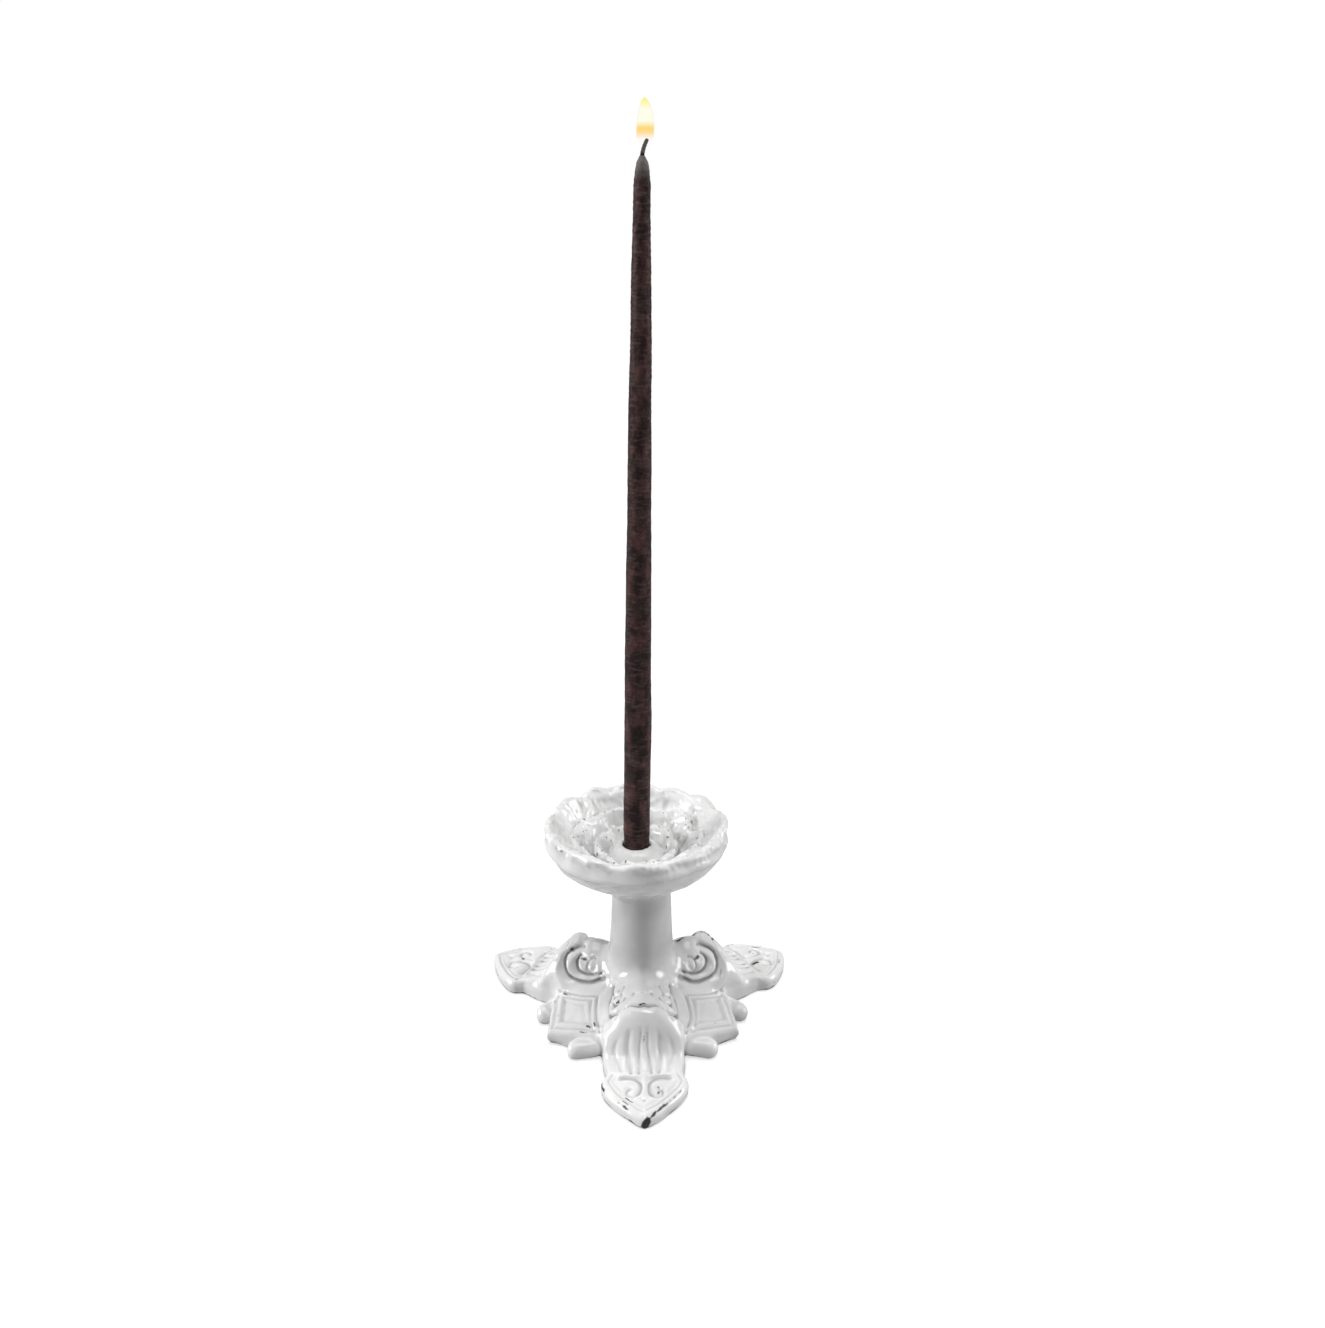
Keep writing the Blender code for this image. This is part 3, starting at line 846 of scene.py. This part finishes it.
# ---------------------------------------------------------------- worn and bare clay, and a painted contact shadow
# Strokes where dark clay shows through the glaze: the leg's direction, the stroke's points in that leg's
# frame (u, v, z) in mm, its half width and its strength
BARE_STROKES = [
    (-90, [(85.4, -0.4, 1.6), (84.9, 0.6, 3.6)], 1.6, 1.1),
    (-90, [(84.6, 1.0, 4.2), (81.6, 4.4, 5.2), (78.6, 7.4, 5.7), (76.6, 9.6, 6.0)], 0.6, 0.8),
    (-90, [(76.6, 9.6, 6.0), (72.0, 13.6, 6.2), (69.0, 15.8, 6.3)], 0.35, 0.6),
    (-90, [(79.4, -7.2, 5.0), (76.4, -9.8, 5.0)], 0.55, 0.8),
    (-90, [(76.4, -9.8, 5.0), (72.4, -13.6, 4.6), (67.4, -17.0, 4.2)], 0.45, 0.75),
    (-90, [(66.4, -17.6, 4.6), (61.4, -18.9, 5.2)], 0.7, 0.9),
    (-90, [(66.8, 5.8, 6.6), (69.4, 8.0, 6.6)], 0.42, 0.8),
    (30, [(84.6, -1.0, 3.0), (80.0, -6.4, 3.8), (75.0, -11.2, 4.2)], 0.6, 0.85),
    (30, [(75.0, -11.2, 3.0), (66.0, -17.6, 3.0)], 0.5, 0.7),
    (30, [(64.2, -3.4, 6.8), (65.4, -4.2, 6.6)], 1.15, 1.2),
    (30, [(21.0, 1.0, 30.8), (25.0, 2.6, 30.8)], 0.8, 0.9),
    (30, [(31.0, 2.4, 29.8), (34.6, 1.4, 30.6), (37.4, -1.0, 29.8), (39.0, -2.6, 28.0)], 1.0, 0.85),
    (30, [(24.6, -9.4, 25.4), (26.6, -9.0, 25.6)], 0.8, 0.7),
    (150, [(84.8, 1.0, 3.0), (79.0, 7.4, 3.6)], 0.9, 0.9),
    (150, [(77.0, 9.4, 4.4), (70.0, 15.0, 4.4)], 0.45, 0.75),
    (150, [(26.0, 9.4, 25.2), (27.8, 9.2, 25.0)], 0.7, 0.7),
    (150, [(33.6, 7.6, 27.0), (35.4, 6.4, 26.6)], 0.8, 0.8),
]


def leg_to_foot(degrees, u, v):
    """A place in a leg's frame, as x and y."""
    c, s = math.cos(math.radians(degrees)), math.sin(math.radians(degrees))
    return u * c - v * s, u * s + v * c


def bare_clay_and_contact_shade(p, bend, seed):
    """How far the dark clay shows, and how strong the painted contact shadow is, 0 to 1.

    It shows here and there on sharp edges, in the strokes and as specks on the inner petals. Round the
    edge that the foot rests on there is a dark band, partly bare clay and partly painted contact shadow.
    """
    x, y, z = p.T
    patch = wave(x, y, z, 11, seed) + 0.7 * wave(x, y, z, 4, seed + 1)
    out = 0.8 * step01(0.6, 1.2, bend) * step01(0.9, 1.4, patch)
    grain = wave(x, y, z, 2.3, seed + 5) + 0.6 * wave(x, y, z, 1.1, seed + 6)
    cup = step01(76.0, 78.0, z) * (1 - step01(30.5, 32.0, np.hypot(x - PAN_X, y)))
    out = np.maximum(out, 0.9 * step01(0.30, 0.8, bend) * step01(0.65, 1.1, grain) * cup)
    # partly bare clay and partly painted contact shadow: a dark band along the edge that the foot rests on
    out = np.maximum(out, (1 - step01(0.4, 1.3, z + 0.35 * patch)) * 0.75)
    rough = 0.30 * wave(x, y, z, 2.4, seed + 2) + 0.12 * wave(x, y, z, 1.1, seed + 3)
    for degrees, line, radius, strength in BARE_STROKES:
        points = np.array([(*leg_to_foot(degrees, u, v), h) for u, v, h in line])
        near = ((p > points.min(0) - 4) & (p < points.max(0) + 4)).all(1)
        if not near.any():
            continue
        q, best = p[near], np.full(int(near.sum()), 1e9)
        for a, b in zip(points, points[1:]):
            t = np.clip((q - a) @ (b - a) / ((b - a) @ (b - a)), 0, 1)
            best = np.minimum(best, np.linalg.norm(q - a - t[:, None] * (b - a), axis=1))
        mark = strength * (1 - step01(radius * 0.5, radius * 1.5, best + rough[near] * radius))
        out[near] = np.maximum(out[near], mark)
    return np.clip(out, 0, 1)


# ---------------------------------------------------------------- materials
class Nodes:
    """A short way to write a node tree."""

    def __init__(self, name):
        self.material = bpy.data.materials.new(name)
        self.material.use_nodes = True
        self.tree = self.material.node_tree
        self.shader = self.tree.nodes["Principled BSDF"]

    def feed(self, socket, value):
        """Give a socket a value, or a link from another socket."""
        if isinstance(value, bpy.types.NodeSocket):
            self.tree.links.new(value, socket)
        else:
            socket.default_value = value

    def put(self, **inputs):
        """Feed the shader's own sockets, with _ for each space in a name."""
        for key, value in inputs.items():
            self.feed(self.shader.inputs[key.replace("_", " ")], value)

    def add(self, kind, inputs=None, **settings):
        node = self.tree.nodes.new(kind)
        for key, value in settings.items():
            setattr(node, key, value)
        for key, value in (inputs or {}).items():
            self.feed(node.inputs[key], value)
        return node

    def maths(self, operation, a, b):
        node = self.add("ShaderNodeMath", operation=operation)
        self.feed(node.inputs[0], a)
        self.feed(node.inputs[1], b)
        return node.outputs[0]

    def times(self, a, b):
        return self.maths("MULTIPLY", a, b)

    def plus(self, a, b):
        return self.maths("ADD", a, b)

    def mix(self, factor, a, b):
        node = self.add("ShaderNodeMix", data_type="RGBA")
        for key, kind, value in (("Factor", "VALUE", factor), ("A", "RGBA", a), ("B", "RGBA", b)):
            self.feed(next(s for s in node.inputs if s.enabled and s.name == key and s.type == kind), value)
        return next(s for s in node.outputs if s.type == "RGBA")

    def ramp(self, value, low, high, bottom=0.0, top=1.0):
        limits = {"From Min": low, "From Max": high, "To Min": bottom, "To Max": top}
        return self.add("ShaderNodeMapRange", {"Value": value, **limits}, clamp=True).outputs[0]

    def band(self, value, a, b, c, d):
        """0 up to a, 1 from b to c, and 0 again from d."""
        return self.times(self.ramp(value, a, b), self.ramp(value, d, c))

    def place(self):
        return self.add("ShaderNodeTexCoord").outputs["Object"]

    def stretched(self, place, scale):
        return self.add("ShaderNodeMapping", {"Vector": place, "Scale": scale}).outputs[0]

    def noise(self, place, scale, detail, roughness=0.5):
        settings = {"Vector": place, "Scale": scale, "Detail": detail, "Roughness": roughness}
        return self.add("ShaderNodeTexNoise", settings).outputs["Fac"]

    def attribute(self, name):
        return self.add("ShaderNodeAttribute", attribute_name=name).outputs["Fac"]

    def bump(self, height, strength, distance):
        settings = {"Height": height, "Strength": strength, "Distance": distance}
        return self.add("ShaderNodeBump", settings).outputs[0]


def grey(tone):
    return tone, tone, tone, 1


def glaze_material():
    n = Nodes("white_glaze")
    place = n.place()
    cloud, smoke = n.noise(place, 70.0, 3.0, 0.55), n.noise(place, 28.0, 2.0)
    fine = n.noise(place, 900.0, 2.0)
    hollow, bare_and_contact_shade = n.attribute("hollow"), n.attribute("bare_and_contact_shade")
    white = n.mix(n.ramp(cloud, 0.35, 0.7), (0.80, 0.80, 0.795, 1), grey(0.89))
    white = n.mix(n.times(n.ramp(smoke, 0.50, 0.78), 0.55), white, grey(0.55))
    # distance from the axis and height, in metres
    flat = n.add("ShaderNodeVectorMath", {0: place, 1: (1.0, 1.0, 0.0)}, operation="MULTIPLY").outputs[0]
    out = n.add("ShaderNodeVectorMath", {0: flat}, operation="LENGTH").outputs["Value"]
    high = n.add("ShaderNodeSeparateXYZ", {0: place}).outputs["Z"]
    # painted shade: the stem is darkened all round, in smoky patches, to stand in for the shade on it
    shaft = n.times(n.ramp(out, 0.0190, 0.0160), n.band(high, 0.026, 0.040, 0.066, 0.076))
    stem_painted_shade = n.times(shaft, n.plus(n.times(n.ramp(smoke, 0.35, 0.65), 0.45), 0.35))
    white = n.mix(stem_painted_shade, white, grey(0.42))
    # painted shade: darker in hollows and grooves, most of all in the legs' scrolls and least in the cup
    scrolls = n.times(n.ramp(out, 0.041, 0.037), n.band(high, 0.013, 0.017, 0.034, 0.040))
    depth = n.maths("SUBTRACT", 0.60, n.times(n.ramp(high, 0.076, 0.082), 0.40))
    depth = n.plus(depth, n.times(scrolls, 0.36))
    hollow_shaded = n.mix(n.times(hollow, depth), white, grey(0.33))
    # rare pinholes where the dark clay shows
    cells = n.add("ShaderNodeTexVoronoi", {"Vector": place, "Scale": 120.0, "Randomness": 1.0})
    chance = n.add("ShaderNodeSeparateColor", {"Color": cells.outputs["Color"]}).outputs[0]
    speck = n.times(n.ramp(cells.outputs["Distance"], 0.10, 0.04), n.ramp(chance, 0.90, 0.93))
    # and the bare clay, with ragged edges, which round the foot's lower edge is also painted contact shadow
    ragged = n.plus(bare_and_contact_shade, n.times(n.maths("SUBTRACT", fine, 0.5), 0.55))
    clay = n.times(n.ramp(ragged, 0.15, 0.80), n.ramp(bare_and_contact_shade, 0.02, 0.15))
    dark = n.maths("MAXIMUM", clay, n.times(speck, 0.8))
    n.put(Base_Color=n.mix(dark, hollow_shaded, (0.030, 0.026, 0.024, 1)), Roughness=n.ramp(dark, -0.35, 2.4))
    n.put(Normal=n.bump(cloud, 0.12, 0.0006), IOR=1.5)
    return n.material


def wax_material():
    n = Nodes("dark_wax")
    place = n.place()
    blotch = n.noise(n.stretched(place, (1.0, 1.0, 0.45)), 260.0, 4.0, 0.62)
    line = n.noise(n.stretched(place, (0.25, 0.25, 1.0)), 900.0, 2.0, 0.6)
    bloom = n.noise(place, 120.0, 5.0, 0.7)
    tone = n.mix(n.ramp(blotch, 0.45, 0.72), (0.026, 0.016, 0.016, 1), (0.105, 0.050, 0.047, 1))
    tone = n.mix(n.times(n.ramp(bloom, 0.52, 0.75), 0.30), tone, (0.15, 0.11, 0.11, 1))
    tone = n.mix(n.times(n.ramp(line, 0.50, 0.70), 0.40), tone, (0.150, 0.105, 0.098, 1))
    tone = n.mix(n.attribute("tip"), tone, (0.16, 0.145, 0.14, 1))
    n.put(Base_Color=tone, Roughness=n.ramp(bloom, -0.4, 1.5), IOR=1.45, Specular_IOR_Level=0.1)
    n.put(Normal=n.bump(n.plus(n.times(line, 0.6), blotch), 0.7, 0.0005))
    return n.material


def char_material():
    n = Nodes("charred_cotton")
    ash = n.ramp(n.noise(n.place(), 2200.0, 2.0), 0.4, 0.7)
    n.put(Base_Color=n.mix(ash, (0.006, 0.005, 0.005, 1), (0.03, 0.024, 0.022, 1)), Roughness=0.9)
    return n.material


# The flame's colours: where each begins, where it is full, and what it is
FLAME_TONES = [
    (0.16, 0.36, (1.0, 0.74, 0.40, 1)),
    (0.34, 0.44, (0.98, 0.70, 0.20, 1)),
    (0.46, 0.58, (1.0, 0.99, 0.82, 1)),
    (0.78, 0.95, (1.0, 0.90, 0.28, 1)),
]


def flame_material():
    n = Nodes("candle_flame")
    rise = n.attribute("rise")
    rim = n.add("ShaderNodeLayerWeight", {"Blend": 0.35}).outputs["Facing"]
    glow = (1.0, 0.86, 0.76, 1)
    for low, high, tone in FLAME_TONES:
        glow = n.mix(n.ramp(rise, low, high), glow, tone)
    glow = n.mix(n.ramp(rim, 0.30, 0.80), glow, (0.97, 0.84, 0.76, 1))
    n.put(Emission_Color=glow, Emission_Strength=1.0, Alpha=n.ramp(rise, 0.27, 0.42, 0.06, 1.0))
    n.put(Base_Color=grey(0.0), Roughness=1.0, Specular_IOR_Level=0.0)
    return n.material


def floor_material():
    """Grey to the object, and lighter to the camera."""
    n = Nodes("studio_floor")
    grain = n.noise(n.place(), 30.0, 2.0)
    seen = n.add("ShaderNodeLightPath").outputs["Is Camera Ray"]
    n.put(Base_Color=n.mix(grain, grey(0.50), grey(0.52)), Roughness=0.9, Specular_IOR_Level=0.1)
    n.put(Emission_Color=grey(1.0), Emission_Strength=n.times(seen, 0.6))
    return n.material


# ---------------------------------------------------------------- pieces
def place_piece(name, mesh, material, node, body):
    obj = bpy.data.objects.new(name, mesh)
    bpy.context.scene.collection.objects.link(obj)
    obj.data.materials.append(material)
    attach(obj, body)
    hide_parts(*([node] if isinstance(node, str) else node))


LEG_NAMES = {"leg_front": -90, "leg_right": 30, "leg_left": 150}
PANEL_NAMES = {"panel_right": -30, "panel_rear": 90, "panel_left": 210}
LEG_HALF = 29.0  # half the angle that a leg's piece takes, in degrees


def clay_attributes(field, verts, seed):
    """What the glaze needs to know of the surface, from the first of a grid's fields."""
    bend, wide = field.bend(0, verts, 0.9), field.bend(0, verts, 1.9)
    return {
        "bare_and_contact_shade": bare_clay_and_contact_shade(verts, bend, seed),
        # hollow: how concave the surface is, where the glaze paints shade
        "hollow": step01(0.2, 1.2, -wide) * 0.5 + step01(0.25, 1.5, -bend) * 0.6,
    }


def build_foot(material):
    field = Field((-77, -88, -2), (77, 56, 71), FOOT_STEP, lambda x, y, z: [clay_field(x, y, z)])
    verts, quads = surface_net(field, field.values[0])
    tris = to_triangles(verts, quads)
    whole = (verts, tris, np.ones(len(tris), int))
    foot = cut(*whole, (0, 0, 1), FLARE_TOP)
    pieces = {"stem": cut(*cut(*whole, (0, 0, -1), -FLARE_TOP), (0, 0, 1), STEM_SEAM)}
    for name, degrees in LEG_NAMES.items():
        pieces[name] = wedge(foot, degrees, LEG_HALF)
    for name, degrees in PANEL_NAMES.items():
        pieces[name] = wedge(foot, degrees, 60 - LEG_HALF)
    for name, (p, t, flags) in pieces.items():
        normals = unit(field.slope(0, p, field.step * 1.2))
        extra = clay_attributes(field, p, 41)
        if name == "stem":
            p, t, flags, normals, extra = with_spigot(p, t, flags, normals, extra)
        mesh = grow_mesh(name + "_glazed", p, t, normals, flags, extra)
        place_piece(name + "_glazed", mesh, material, name, "holder")


def wedge(solid, degrees, half):
    """The part of a solid within half an angle, in degrees, of a direction about Z."""
    a, b = math.radians(degrees + half), math.radians(degrees - half)
    solid = cut(*solid, (-math.sin(a), math.cos(a), 0), 0.0)
    return cut(*solid, (math.sin(b), -math.cos(b), 0), 0.0)


# The spigot's section from its bottom to its top, as radius and height
SPIGOT = [(0.0, 0.02), (11.2, 0.02), (11.9, 0.5), (11.95, 1.4), (11.95, 43.0), (11.0, 44.4), (0.0, 44.4)]


def with_spigot(p, t, flags, normals, extra):
    """Add the plug of clay by which the stem runs down through the foot."""
    n = 64
    a = np.linspace(0, 2 * math.pi, n, endpoint=False)
    points, outward = [(0, 0, SPIGOT[0][1])], [(0, 0, -1)]
    for r, z in SPIGOT[1:-1]:
        points += [(r * math.cos(q), r * math.sin(q), z) for q in a]
        tilt = -1 if z < 1 else 0
        outward += [(math.cos(q) * (1 + tilt * 0.3), math.sin(q) * (1 + tilt * 0.3), tilt) for q in a]
    points.append((0, 0, SPIGOT[-1][1]))
    outward.append((0, 0, 1))
    faces = lathe(len(SPIGOT) - 2, n)
    t = np.vstack([t, faces + len(p)])
    p = np.vstack([p, np.array(points, float)])
    flags = np.concatenate([flags, np.ones(len(faces), int)])
    normals = np.vstack([normals, unit(np.array(outward, float))])
    extra = {key: np.concatenate([value, np.zeros(len(points))]) for key, value in extra.items()}
    return p, t, flags, normals, extra


def build_cup(material):
    """The pan, the petal rings and the socket: one skin, shared out where another part comes nearer."""

    def functions(x, y, z):
        parts = [part(x, y, z) for part in CUP_PARTS.values()]
        whole = parts[0]
        for part in parts[1:]:
            whole = smin(whole, part, 0.7)
        bore = np.hypot(x - PAN_X, y) - SOCKET_BORE
        whole = np.maximum(whole, -np.maximum(bore, SOCKET_FLOOR - z))
        out = [whole]
        for i, part in enumerate(parts):
            others = np.minimum.reduce([parts[j] for j in range(len(parts)) if j != i])
            out.append((part - others) * 0.5)
        return out

    field = Field((-48, -46, STEM_TOP - 3), (44, 46, 104), CUP_STEP, functions)
    whole = field.values[0]
    heights = field.low[2] + field.step * np.arange(field.shape[2])
    floor = (STEM_SEAM - heights)[None, None, :].astype(np.float32)
    for name, share in zip(CUP_PARTS, field.values[1:]):
        if name == "drip_pan":
            share = np.maximum(share, floor)
        f = np.maximum(whole, share)
        verts, quads = surface_net(field, f, crease=(whole, share))
        tris = to_triangles(verts, quads)
        on_skin = np.abs(field.read(whole, verts)) < 0.12 * field.step + 0.02
        skin = on_skin[tris].all(1).astype(int)
        normals = unit(field.slope(whole, verts, field.step * 1.2))
        extra = clay_attributes(field, verts, 61)
        mesh = grow_mesh(name + "_glazed", verts, tris, normals, skin, extra)
        place_piece(name + "_glazed", mesh, material, name, "holder")


# ---------------------------------------------------------------- candle
TAPER_TIP, WICK_TOP, FLAME_TOP = 382.8, 388.7, 403.2
# The taper's radius against the height, and how its butt is rounded off
TAPER = ([72, 84, 96, 150, 283, 372, 377, 380.5, 382.9], [5.7, 5.75, 6.05, 6.0, 4.85, 3.35, 2.9, 2.15, 0.9])
BUTT = ([72.1, 72.3, 72.9, 74.0, 75], [4.2, 4.9, 5.6, 5.9, 6.5])
BUTT_END = 72.05


def candle_line(z):
    """The taper's centre at a height: it bows a little to one side."""
    t = np.clip((z - 88.0) / 290.0, 0, 1)
    return PAN_X + 2.5 * t**0.8 + 0.12 * np.sin(z * 0.021), 0.10 * np.sin(z * 0.017 + 1)


def build_taper(material):
    around = 72
    step = 0.3
    shank = np.arange(BUTT[0][-1], TAPER_TIP - 0.6, step)
    z = np.concatenate([BUTT[0][:-1], shank, [TAPER_TIP - 0.5, TAPER_TIP - 0.15]])
    body = np.minimum(np.interp(z, *TAPER), np.interp(z, *BUTT))
    a = np.linspace(0, 2 * math.pi, around, endpoint=False)
    zz, aa = np.meshgrid(z, a, indexing="ij")
    nx, ny = np.cos(aa), np.sin(aa)
    free = step01(90, 94, zz)  # smooth below this, where the socket holds it
    lump = 0.13 * wave(nx * 6, ny * 6, zz * 0.5, 16, 71) + 0.06 * wave(nx * 6, ny * 6, zz, 4.5, 72)
    ripple = wave(nx * 1.2, ny * 1.2, zz, 1.5, 73)
    top = 0.25 + 0.75 * step01(250, 330, zz)
    r = body[:, None] + free * (lump + 0.055 * top * ripple)
    cx, cy = candle_line(zz)
    verts = np.stack([cx + r * nx, cy + r * ny, zz], -1).reshape(-1, 3)
    verts = np.vstack([[*candle_line(BUTT_END), BUTT_END], verts, [*candle_line(TAPER_TIP), TAPER_TIP]])
    tip = step01(372.5, 381, verts[:, 2])
    mesh = plain_mesh("taper", verts, lathe(len(z), around), {"tip": tip})
    place_piece("taper_candle", mesh, material, "candle_wax", "candle")


def tube(path, radii, around):
    """Points of a closed tube along a path in the XZ plane, in the order that lathe expects."""
    across = np.array([0.0, 1.0, 0.0])
    side = np.cross(unit(np.gradient(path, axis=0)), across)
    a = np.linspace(0, 2 * math.pi, around, endpoint=False)[:, None]
    rows = [c + r * (np.cos(a) * s + np.sin(a) * across) for c, r, s in zip(path, radii, side)]
    return np.vstack([path[:1], *rows, path[-1:]])


def build_wick(material):
    x0, y0 = candle_line(TAPER_TIP)
    t = np.linspace(0, 1, 26)
    z = TAPER_TIP - 1.2 + t * (WICK_TOP - TAPER_TIP + 1.2)
    x = x0 + 2.1 * t**2
    path = np.stack([x, np.full_like(x, y0), z], 1)
    radii = 0.88 - 0.14 * t + 0.05 * np.sin(t * 40)
    radii[-1] = 0.35
    verts = tube(path, radii, 16)
    mesh = plain_mesh("wick", verts, lathe(len(path), 16), {})
    place_piece("burnt_wick", mesh, material, "wick", "candle")


def build_flame(material):
    x0, y0 = candle_line(TAPER_TIP)
    t = np.linspace(0.0, 1.0, 48)
    low, high = TAPER_TIP + 0.3, FLAME_TOP
    at = [0, 0.03, 0.08, 0.15, 0.25, 0.36, 0.53, 0.70, 0.80, 0.88, 0.95, 0.985, 1.0]
    r = np.interp(t, at, [0.3, 0.8, 1.45, 2.4, 3.2, 3.5, 3.45, 3.0, 2.5, 1.95, 1.3, 0.8, 0.25])
    r = np.convolve(np.pad(r, 2, mode="edge"), [0.1, 0.2, 0.4, 0.2, 0.1], "valid")
    x = x0 + np.interp(t, at, [0.0, 0.2, 0.45, 0.76, 1.0, 1.14, 1.28, 1.28, 1.2, 1.08, 0.95, 0.88, 0.85])
    path = np.stack([x, np.full_like(x, y0), low + t * (high - low)], 1)
    verts = tube(path, r, 40)
    rise = np.clip((verts[:, 2] - low) / (high - low), 0, 1)
    mesh = plain_mesh("flame", verts, lathe(len(path), 40), {"rise": rise})
    obj = bpy.data.objects.new("candle_flame", mesh)
    bpy.context.scene.collection.objects.link(obj)
    obj.data.materials.append(material)
    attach(obj, "candle")
    obj.visible_shadow = False


# ---------------------------------------------------------------- studio
def add_light(name, kind, place, power, **settings):
    """A light at a place, aimed at the foot."""
    data = bpy.data.lights.new(name, kind)
    data.energy = power
    for key, value in settings.items():
        setattr(data, key, value)
    obj = bpy.data.objects.new(name, data)
    bpy.context.scene.collection.objects.link(obj)
    obj.location = place
    obj.rotation_euler = (Vector((0.0, 0.0, 0.05)) - Vector(place)).to_track_quat("-Z", "Y").to_euler()


FLOOR_HALF, FLOOR_Z = 3.0, -0.0002


def build_studio():
    """A floor and a world that are white to the camera and dimmer to the object, and the lights."""
    mesh = bpy.data.meshes.new("floor")
    corners = [(-1, -1), (1, -1), (1, 1), (-1, 1)]
    mesh.from_pydata([(x * FLOOR_HALF, y * FLOOR_HALF, FLOOR_Z) for x, y in corners], [], [(0, 1, 2, 3)])
    floor = bpy.data.objects.new("studio_floor", mesh)
    bpy.context.scene.collection.objects.link(floor)
    floor.data.materials.append(floor_material())

    scene = bpy.context.scene
    world = bpy.data.worlds.new("studio")
    scene.world = world
    world.use_nodes = True
    tree = world.node_tree
    tree.nodes.clear()
    path = tree.nodes.new("ShaderNodeLightPath")
    mix, out = tree.nodes.new("ShaderNodeMixShader"), tree.nodes.new("ShaderNodeOutputWorld")
    tree.links.new(path.outputs["Is Camera Ray"], mix.inputs[0])
    for socket, strength in ((1, 0.05), (2, 1.0)):  # to the object, and to the camera
        light = tree.nodes.new("ShaderNodeBackground")
        light.inputs[0].default_value, light.inputs[1].default_value = (1, 1, 1, 1), strength
        tree.links.new(light.outputs[0], mix.inputs[socket])
    tree.links.new(mix.outputs[0], out.inputs[0])
    scene.view_settings.view_transform = "Standard"

    add_light("overhead", "SUN", (0.0, 0.02, 1.0), 2.1, angle=math.radians(45))
    add_light("left", "SUN", (-1.0, 0.05, 0.30), 2.2, angle=math.radians(28))
    add_light("right", "SUN", (1.0, 0.1, 0.30), 1.4, angle=math.radians(28))
    add_light("glint_front", "AREA", (0.12, -0.45, 0.9), 0.6, size=0.1)
    add_light("glint_left", "AREA", (-0.5, -0.3, 0.8), 0.45, size=0.08)
    add_light("glint_right", "AREA", (0.6, -0.1, 0.7), 0.45, size=0.08)


# The camera: metres back from the axis and above the floor, degrees turned and tilted down
CAMERA = dict(back=0.510, height=0.3489, turn=1.13, down=18.68, lens=33.3163, shift=0.0158)


def build_camera():
    data = bpy.data.cameras.new("camera")
    data.lens, data.sensor_width, data.shift_x = CAMERA["lens"], 36.0, CAMERA["shift"]
    obj = bpy.data.objects.new("camera", data)
    bpy.context.scene.collection.objects.link(obj)
    turn = -math.radians(CAMERA["turn"])
    back = CAMERA["back"]
    obj.location = (back * math.sin(turn), -back * math.cos(turn), CAMERA["height"])
    obj.rotation_euler = (math.radians(90 - CAMERA["down"]), 0.0, turn)
    bpy.context.scene.camera = obj


glaze = glaze_material()
build_foot(glaze)
build_cup(glaze)
build_taper(wax_material())
build_wick(char_material())
build_flame(flame_material())
build_studio()
build_camera()
